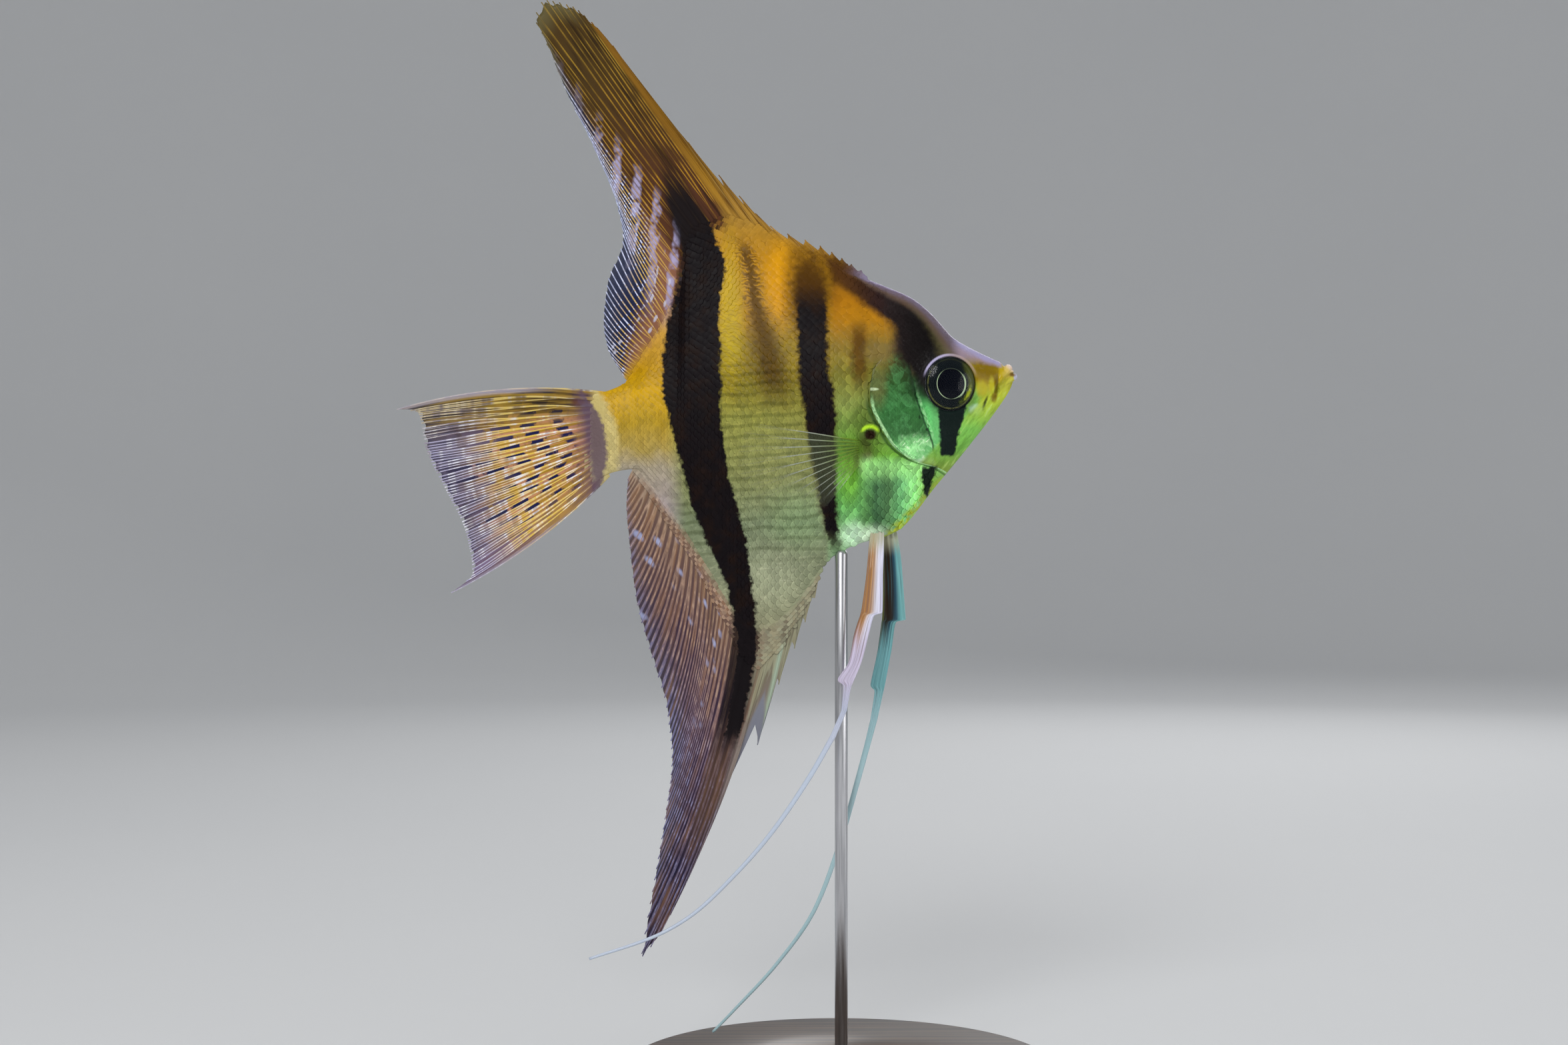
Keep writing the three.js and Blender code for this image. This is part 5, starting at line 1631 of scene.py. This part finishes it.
def tail_web(p, lines, fine, high, light):
    """The tail fin's skin: orange with rows of navy dashes between the rays, dusky towards its rim."""
    ray, along, reach = p.read("ray"), p.read("along"), p.read("reach")
    between = abs(p.math("FRACT", ray + (fine - 0.5) * 0.2) - 0.5).ease(0.32, 0.14)
    luck = p.noise(1.0, 0.0, at=p.vector(p.math("FLOOR", ray) * 3.7, 0.0, 0.0))
    dashes = p.math("SINE", reach * 1.05 + luck * 40.0 + (fine - 0.5) * 4.0)
    dashes = dashes + (reach + (luck - 0.5) * 14.0).ease(10, 25) * 1.2
    navy = between * dashes.ease(0.1, 0.8) * reach.ease(6.0, 8.0)
    deep = p.blend(reach.ease(24, 34), (0.008, 0.01, 0.065), (0.03, 0.022, 0.07))
    deep = p.blend(lines.ease(0.42, 0.62) * reach.ease(18, 26) * 0.8, deep, (0.15, 0.1, 0.15))
    orange = p.blend(lines.ease(0.4, 0.56), (0.56, 0.25, 0.13), (0.4, 0.22, 0.02))
    orange = p.blend(fine.ease(0.5, 0.66) * 0.5, orange, (0.2, 0.1, 0.08))
    slate = p.blend(lines.ease(0.42, 0.6), (0.1, 0.08, 0.14), (0.04, 0.03, 0.08))
    orange = p.blend(reach.ease(22, 34), orange, slate)
    tone = p.blend(navy, orange, deep)
    ochre = p.blend(lines.ease(0.42, 0.56), (0.32, 0.2, 0.02), (0.035, 0.022, 0.008))
    tone = p.blend(high * 0.9, tone, ochre)
    low = (ray + (lines - 0.5)).ease(12.6, 15.0)
    rust = p.blend(reach.ease(12, 34), (0.42, 0.24, 0.06), (0.24, 0.16, 0.3))
    rust = p.blend(lines.ease(0.44, 0.6) * 0.6, rust, (0.16, 0.08, 0.06))
    tone = p.blend(low * 0.85, tone, rust)
    rib = ribs(p, ray, along, 0.2)
    tone = p.blend(rib.ease(0.82, 1.0) * 0.4, tone, light)
    dusk = p.x.ease(-56.5, -51.5) * rib.ease(0.8, 0.3)
    return p.blend(dusk * 0.6, tone, (0.1, 0.055, 0.09))


def tail_colour(p, bony):
    """The tail fin's colour and how opaque its skin is."""
    ray, along, reach = p.read("ray"), p.read("along"), p.read("reach")
    lines = streaks(p, 0.35, 18.0)
    fine = p.noise(1.1, 3.0)
    high = (ray + (lines - 0.5)).ease(4.2, 1.6)
    light = p.ramp(reach, [
        (0, (0.36, 0.32, 0.3)), (5, (0.42, 0.38, 0.46)), (8, (0.9, 0.78, 0.6)), (16, (0.9, 0.68, 0.28)),
        (24, (0.74, 0.58, 0.4)), (30, (0.5, 0.46, 0.6)), (42, (0.42, 0.4, 0.62)),
    ])
    glint = p.noise(1.6, at=p.vector(ray * 1.5, reach, 3.0)).ease(0.5, 0.6)
    light = p.blend(glint * 0.8, light, (0.92, 0.92, 1.0))
    tone = tail_bone(p, high, light) if bony else tail_web(p, lines, fine, high, light)
    rim = p.math("MAXIMUM", ray.ease(0.5, 0.1), ray.ease(15.7, 15.95))
    tone = p.blend(rim * reach.ease(8, 20) * 0.6, tone, (0.5, 0.46, 0.56))
    tone = p.dab(tone, -53.4, 140.6, 1.2, 0.9, 0.5, 0.8, (0.1, 0.03, 0.02))
    tone = p.blend(tail_band(p, fine), tone, (0.115, 0.07, 0.115))
    clear = along.ease(0.5, 1.0) * 0.22
    return p.blend(reach.ease(4.5, 2.0), tone, MARKINGS.on(p)), 0.96 - clear


def skin_of_fin(p, tone, opaque):
    """Ends a finish as the skin between rays."""
    return p.surface(
        tone, Roughness=0.45, Specular_IOR_Level=0.08, Alpha=opaque,
        Coat_Weight=bright(p, tone) * 0.1, Coat_Roughness=0.2,
        Normal=p.relief(p.noise(0.7, 3.0), 0.25, 0.0001),
    )


def bone_of_fin(p, tone):
    """Ends a finish as a fin's rays."""
    return p.surface(
        tone, Roughness=0.38, Specular_IOR_Level=0.12,
        Coat_Weight=bright(p, tone) * 0.25, Coat_Roughness=0.15,
        Normal=p.relief(p.noise(0.3, 2.0), 0.2, 0.0001),
    )


def pelvic_finish(fin):
    """Folded bands of colour from front to rear, and the thread's pale end."""
    p = Paint(f"pelvic_{fin['word']}")
    across, along = p.read("across"), p.read("along")
    lines = p.noise(1.0, 3.0, at=p.vector(across * 9.0, along * 2.6, 0.0))
    tone = p.ramp(across + (lines - 0.5) * 0.2, fin["tones"])
    tone = p.blend((p.z + (lines - 0.5) * 8.0).ease(97, 89), tone, fin["lower"])
    tone = p.blend(lines.ease(0.52, 0.66) * along.ease(1.2, 0.8) * 0.6, tone, fin["streak"])
    tone = p.blend(lines.ease(0.5, 0.36) * 0.4, tone, p.times(tone, (1.6, 1.6, 1.6)))
    tone = p.blend((p.z + (lines - 0.5) * 4.0).ease(109.0, 113.6) * 0.85, tone, (0.46, 0.45, 0.3))
    tone = p.blend(along.ease(0.8, 1.1), tone, fin["end"])
    return p.surface(
        tone, Roughness=0.32, Specular_IOR_Level=0.2, Coat_Weight=bright(p, tone) * 0.3, Coat_Roughness=0.12,
        Normal=p.relief(lines, 0.4, 0.0002),
    )


def make_fins():
    for fin, word, colour, node in (
        (DORSAL, "dorsal", dorsal_colour, "dorsal_fin"),
        (ANAL, "anal", anal_colour, "anal_fin"),
        (CAUDAL, "tail_fin", tail_colour, "caudal_fin"),
    ):
        p = Paint(f"{word}_skin")
        fin_skin(fin, f"{word}_skin", skin_of_fin(p, *colour(p, False)), "fin", node)
        p = Paint(f"{word}_rays")
        ray_piece(f"{word}_rays", ray_lines(fin), bone_of_fin(p, colour(p, True)[0]), "fin")

    p = Paint("pectoral_skin")
    clear = 0.04 - p.read("along").ease(0.3, 1) * 0.025
    skin = p.surface((0.5, 0.6, 0.3), Roughness=0.3, Specular_IOR_Level=0.1, Alpha=clear)
    p = Paint("pectoral_rays")
    tone = p.ramp(p.read("along"), [
        (0, (0.2, 0.36, 0.02)), (0.16, (0.34, 0.5, 0.05)), (0.34, (0.6, 0.66, 0.5)), (0.6, (0.5, 0.54, 0.5)),
        (1, (0.4, 0.4, 0.36)),
    ])
    clear = (0.6 - p.read("along").ease(0.4, 0.75) * 0.5) * (1 - p.read("ray").ease(3.5, 8) * 0.72)
    bone = p.surface(tone, Roughness=0.3, Specular_IOR_Level=0.2, Alpha=clear)
    pectoral_fin(1, "left", skin, bone)
    pectoral_fin(-1, "right", skin, bone)

    for fin in (PELVIC_RIGHT, PELVIC_LEFT):
        pelvic_fin(fin, pelvic_finish(fin))


# ---- Eyes -------------------------------------------------------------------------------

IRIS_PROFILE = [
    (0, 0.9), (0.8, 0.88), (1.6, 0.82), (2.3, 0.72), (2.74, 0.64), (2.82, 0.7), (2.92, 0.73), (3.02, 0.7),
    (3.3, 0.6), (3.8, 0.45), (4.3, 0.27), (4.75, 0.06), (5.0, -0.08), (5.1, -0.3), (4.9, -1.0), (4.0, -2.0),
    (2.0, -2.7), (0, -2.85),
]
CORNEA_PROFILE = [
    (0, 1.46), (0.9, 1.43), (1.8, 1.34), (2.7, 1.18), (3.5, 0.98), (4.2, 0.72), (4.7, 0.48), (5.05, 0.22),
    (5.16, 0.02), (5.0, 0.02), (4.6, 0.38), (4.1, 0.6), (3.4, 0.84), (2.6, 1.04), (1.7, 1.2), (0.9, 1.28),
    (0, 1.3),
]


def eye_part(name, profile, side, segments=72):
    """A turned part of the eye set in its socket, with its front face's (x, z) as values."""
    points, faces = turned(profile, segments)
    yaw = math.radians(EYE["yaw"])
    out = np.array((math.sin(yaw), side * math.cos(yaw), 0))
    ahead = np.array((math.cos(yaw), -side * math.sin(yaw), 0))
    place = np.array((EYE["x"], side * EYE["side"], EYE["z"]))
    up = np.array((0, 0, EYE["tall"]))
    moved = place + points[:, :1] * ahead + points[:, 1:2] * up + points[:, 2:] * out
    return outward(piece_of(name, moved, faces, values={"fore": points[:, 0], "high": points[:, 1]}))


def make_eyes():
    p = Paint("iris")
    fore, high = p.read("fore"), p.read("high")
    away = (fore**2 + high**2) ** 0.5
    grain = p.noise(0.5, 3.0)
    tone = p.blend(away.ease(3.0, 3.3), (0.0006, 0.0012, 0.004), (0.004, 0.007, 0.008))
    olive = (fore + (grain - 0.5) * 1.4).ease(2.0, 3.8)
    olive = olive * (high + grain).ease(-1.0, 1.6) * away.ease(3.4, 4.0)
    tone = p.blend(olive * 0.7, tone, (0.1, 0.115, 0.01))
    streak = (((away - 4.15) / 0.6) ** 2 + ((high + 1.7) / 2.1) ** 2) ** 0.5
    streak = (streak + (grain - 0.5) * 1.4).ease(1.4, 0.0) * fore.ease(1.0, 2.5)
    tone = p.blend(streak, tone, p.blend(streak.ease(0.4, 0.9), (0.16, 0.2, 0.008), (0.46, 0.52, 0.012)))
    shade = (high + fore * 0.5).ease(1.6, -2.4)
    outer = away.ease(4.46, 4.6) * away.ease(4.84, 4.66)
    tone = p.blend(outer * (shade * 0.45 + 0.1) * grain.ease(0.3, 0.6), tone, (0.26, 0.26, 0.05))
    ring = away.ease(2.79, 2.86) * away.ease(3.0, 2.93)
    wider = away.ease(2.76, 2.86) * away.ease(3.25, 3.0) * (fore - high * 0.2).ease(1.9, 2.8)
    ring = p.math("MAXIMUM", ring, wider)
    strong = (abs(fore) - high * 0.25).ease(0.6, 2.8) * 0.8 + 0.08
    tone = p.blend(ring * strong, tone, (0.6, 0.74, 0.42))
    iris = p.surface(tone, Roughness=0.5, Specular_IOR_Level=0.03)
    p = Paint("clear_cornea")
    shine = p.node("Fresnel", sockets={"IOR": 1.28}).outputs[0]
    clear = p.node("BsdfTransparent", sockets={"Color": (0.97, 0.98, 1.0)}).outputs[0]
    gloss = p.node("BsdfGlossy", sockets={"Color": (1.0, 1.0, 1.0), "Roughness": 0.05}).outputs[0]
    both = p.node("MixShader", sockets={0: Tone(p, shine) * 0.36, 1: clear, 2: gloss}).outputs[0]
    p.node("OutputMaterial", sockets={"Surface": both})
    cornea = p.material
    for side, word in ((1, "left"), (-1, "right")):
        settle(eye_part(f"eyeball_{word}", IRIS_PROFILE, side), iris, "eye", f"eye_{word}")
        settle(eye_part(f"cornea_{word}", CORNEA_PROFILE, side), cornea, "eye")


# ---- Stand ------------------------------------------------------------------------------


def make_stand():
    p = Paint("stained_wood")
    at = p.node("VectorMath", {"operation": "MULTIPLY"}, {0: p.place, 1: (0.06, 1.0, 0.35)}).outputs[0]
    bend = p.noise(9.0, 3.0, at=Tone(p, at))
    grain = p.node("TexWave", {"bands_direction": "Y"}, {
        "Vector": at, "Scale": 0.11, "Distortion": 9.0, "Detail": 3.0, "Detail Scale": 1.5,
    }).outputs["Fac"]
    pores = p.noise(0.5, 2.0, stretch=(0.05, 1, 1))
    tone = p.ramp(Tone(p, grain) * 0.7 + bend * 0.3, [
        (0, (0.02, 0.011, 0.006)), (0.45, (0.05, 0.027, 0.014)), (0.75, (0.085, 0.046, 0.024)),
        (1, (0.12, 0.066, 0.034)),
    ])
    tone = p.blend(pores.ease(0.56, 0.68) * 0.6, tone, (0.012, 0.007, 0.004))
    wood = p.surface(
        tone, Roughness=0.32 + bend * 0.12, Coat_Weight=0.35, Coat_Roughness=0.15,
        Normal=p.relief(pores, 0.15, 0.0001),
    )
    low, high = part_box("stand_base")
    radius, height = (high.x - low.x) / 2 / MM, high.z / MM
    edge, hole, depth = 1.5, 1.6, 3  # the rounded upper edge, and the hole for the rod
    profile = [
        (0, 0), (radius - 1.2, 0), (radius - 0.4, 0.25), (radius, 0.9), (radius, 3.6), (radius - 0.35, 3.95),
        (radius - 0.35, 4.3), (radius, 4.65), (radius, height - edge - 0.1),
    ]
    rounding = np.linspace(0.1, math.pi / 2, 8)
    profile += [(radius - edge * (1 - math.cos(a)), height - edge * (1 - math.sin(a))) for a in rounding]
    profile += [
        (radius - 6, height), (hole + 0.15, height), (hole, height - 0.15), (hole, height - depth),
        (0, height - depth),
    ]
    points, faces = turned(profile, 160)
    settle(outward(piece_of("round_base", points, faces)), wood, "stand_base", "stand_base")

    p = Paint("brushed_rod")
    brushed = p.noise(0.35, 2.0, stretch=(1, 1, 0.03))
    tone = p.ramp(brushed, [(0.3, (0.42, 0.42, 0.44)), (0.7, (0.66, 0.66, 0.68))])
    steel = p.surface(
        tone, Metallic=1.0, Roughness=0.22 + brushed * 0.2, Normal=p.relief(brushed, 0.1, 0.00005),
    )
    low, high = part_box("stand_rod")
    radius, foot, end = (high.x - low.x) / 2 / MM, low.z / MM, high.z / MM
    profile = [
        (0, foot), (radius - 0.15, foot), (radius, foot + 0.15), (radius, end - 1.2),
        (radius - 0.25, end - 0.6), (radius - 0.7, end - 0.25), (0, end - 0.2),
    ]
    points, faces = turned(profile, 48)
    settle(outward(piece_of("steel_rod", points, faces)), steel, "stand_rod", "stand_rod")


# ---- Room, lights and camera ------------------------------------------------------------


def make_room():
    start, bend = 1.1, 0.7  # in metres: where the floor starts to rise into the wall, and its bend
    angles = np.linspace(0, math.pi / 2, 10)
    curve = [(start + bend * math.sin(a), bend * (1 - math.cos(a))) for a in angles]
    wall = start + bend
    profile = [(0.0, 0.0), (0.4, 0.0), (0.8, 0.0), *curve, (wall, 1.2), (wall, 1.9)]
    segments = 96
    turn = np.linspace(0, 2 * np.pi, segments, endpoint=False)
    points = [(r * math.cos(a) / MM, r * math.sin(a) / MM, h / MM) for r, h in profile[1:] for a in turn]
    faces = ring_faces(len(profile) - 1, segments)[0].tolist() + fan(len(points), 0, segments)
    points.append((0, 0, 0))
    floor = piece_of("pale_floor", points, faces)
    p = Paint("pale_paper")
    tone = p.blend(p.noise(300.0), (0.7, 0.71, 0.72), (0.74, 0.745, 0.75))
    floor.data.materials.append(p.surface(tone, Roughness=0.8))
    floor.data.shade_smooth()

    world = bpy.data.worlds.new("soft_room")
    world.use_nodes = True
    world.node_tree.nodes["Background"].inputs["Color"].default_value = (0.95, 0.97, 1.0, 1)
    world.node_tree.nodes["Background"].inputs["Strength"].default_value = 0.36
    bpy.context.scene.world = world

    for name, place, size, power in (
        ("key_light", (-0.3, -0.85, 0.65), 0.5, 5.6),
        ("fill_light", (0.85, -0.5, 0.1), 0.8, 3.6),
        ("top_light", (0.0, 0.1, 1.0), 0.5, 1.4),
        ("back_light", (0.3, 0.9, 0.6), 0.6, 2.4),
    ):
        data = bpy.data.lights.new(name, "AREA")
        data.shape = "DISK"
        data.size = size
        data.energy = power
        lamp = placed(name, data)
        lamp.location = place
        lamp.rotation_euler = (Vector((0, 0, 0.13)) - Vector(place)).to_track_quat("-Z", "Y").to_euler()


VIEW_WIDTH = 0.3175  # what the camera sees from side to side at the fish's middle plane
VIEW_CENTRE = (-0.0116, 0.1162)
LENS = 55.0


def make_camera():
    data = bpy.data.cameras.new("camera")
    data.lens = LENS
    data.clip_start, data.clip_end = 0.01, 20
    camera = placed("camera", data)
    away = VIEW_WIDTH * LENS / data.sensor_width
    camera.location = (VIEW_CENTRE[0], -away, VIEW_CENTRE[1])
    camera.rotation_euler = (math.pi / 2, 0, 0)
    bpy.context.scene.camera = camera
    bpy.context.scene.view_settings.view_transform = "Standard"


# ---- The whole --------------------------------------------------------------------------

make_camera()
make_room()
build_skin(skin_finish())
coat = scale_finish()
one_scale = scale_shape()
build_scales(1, "scales_left", one_scale, coat, np.random.default_rng(11))
build_scales(-1, "scales_right", one_scale, coat, np.random.default_rng(12))
for fin, word, colour in ((DORSAL, "dorsal", dorsal_colour), (ANAL, "anal", anal_colour)):
    coat = scale_finish(f"{word}_sheath", colour)
    for side, hand, seed in ((1, "left", 13), (-1, "right", 14)):
        build_sheath(fin, side, f"{word}_sheath_{hand}", one_scale, coat, np.random.default_rng(seed))
bpy.data.objects.remove(one_scale)
make_fins()
make_eyes()
make_stand()

bpy.context.view_layer.update()
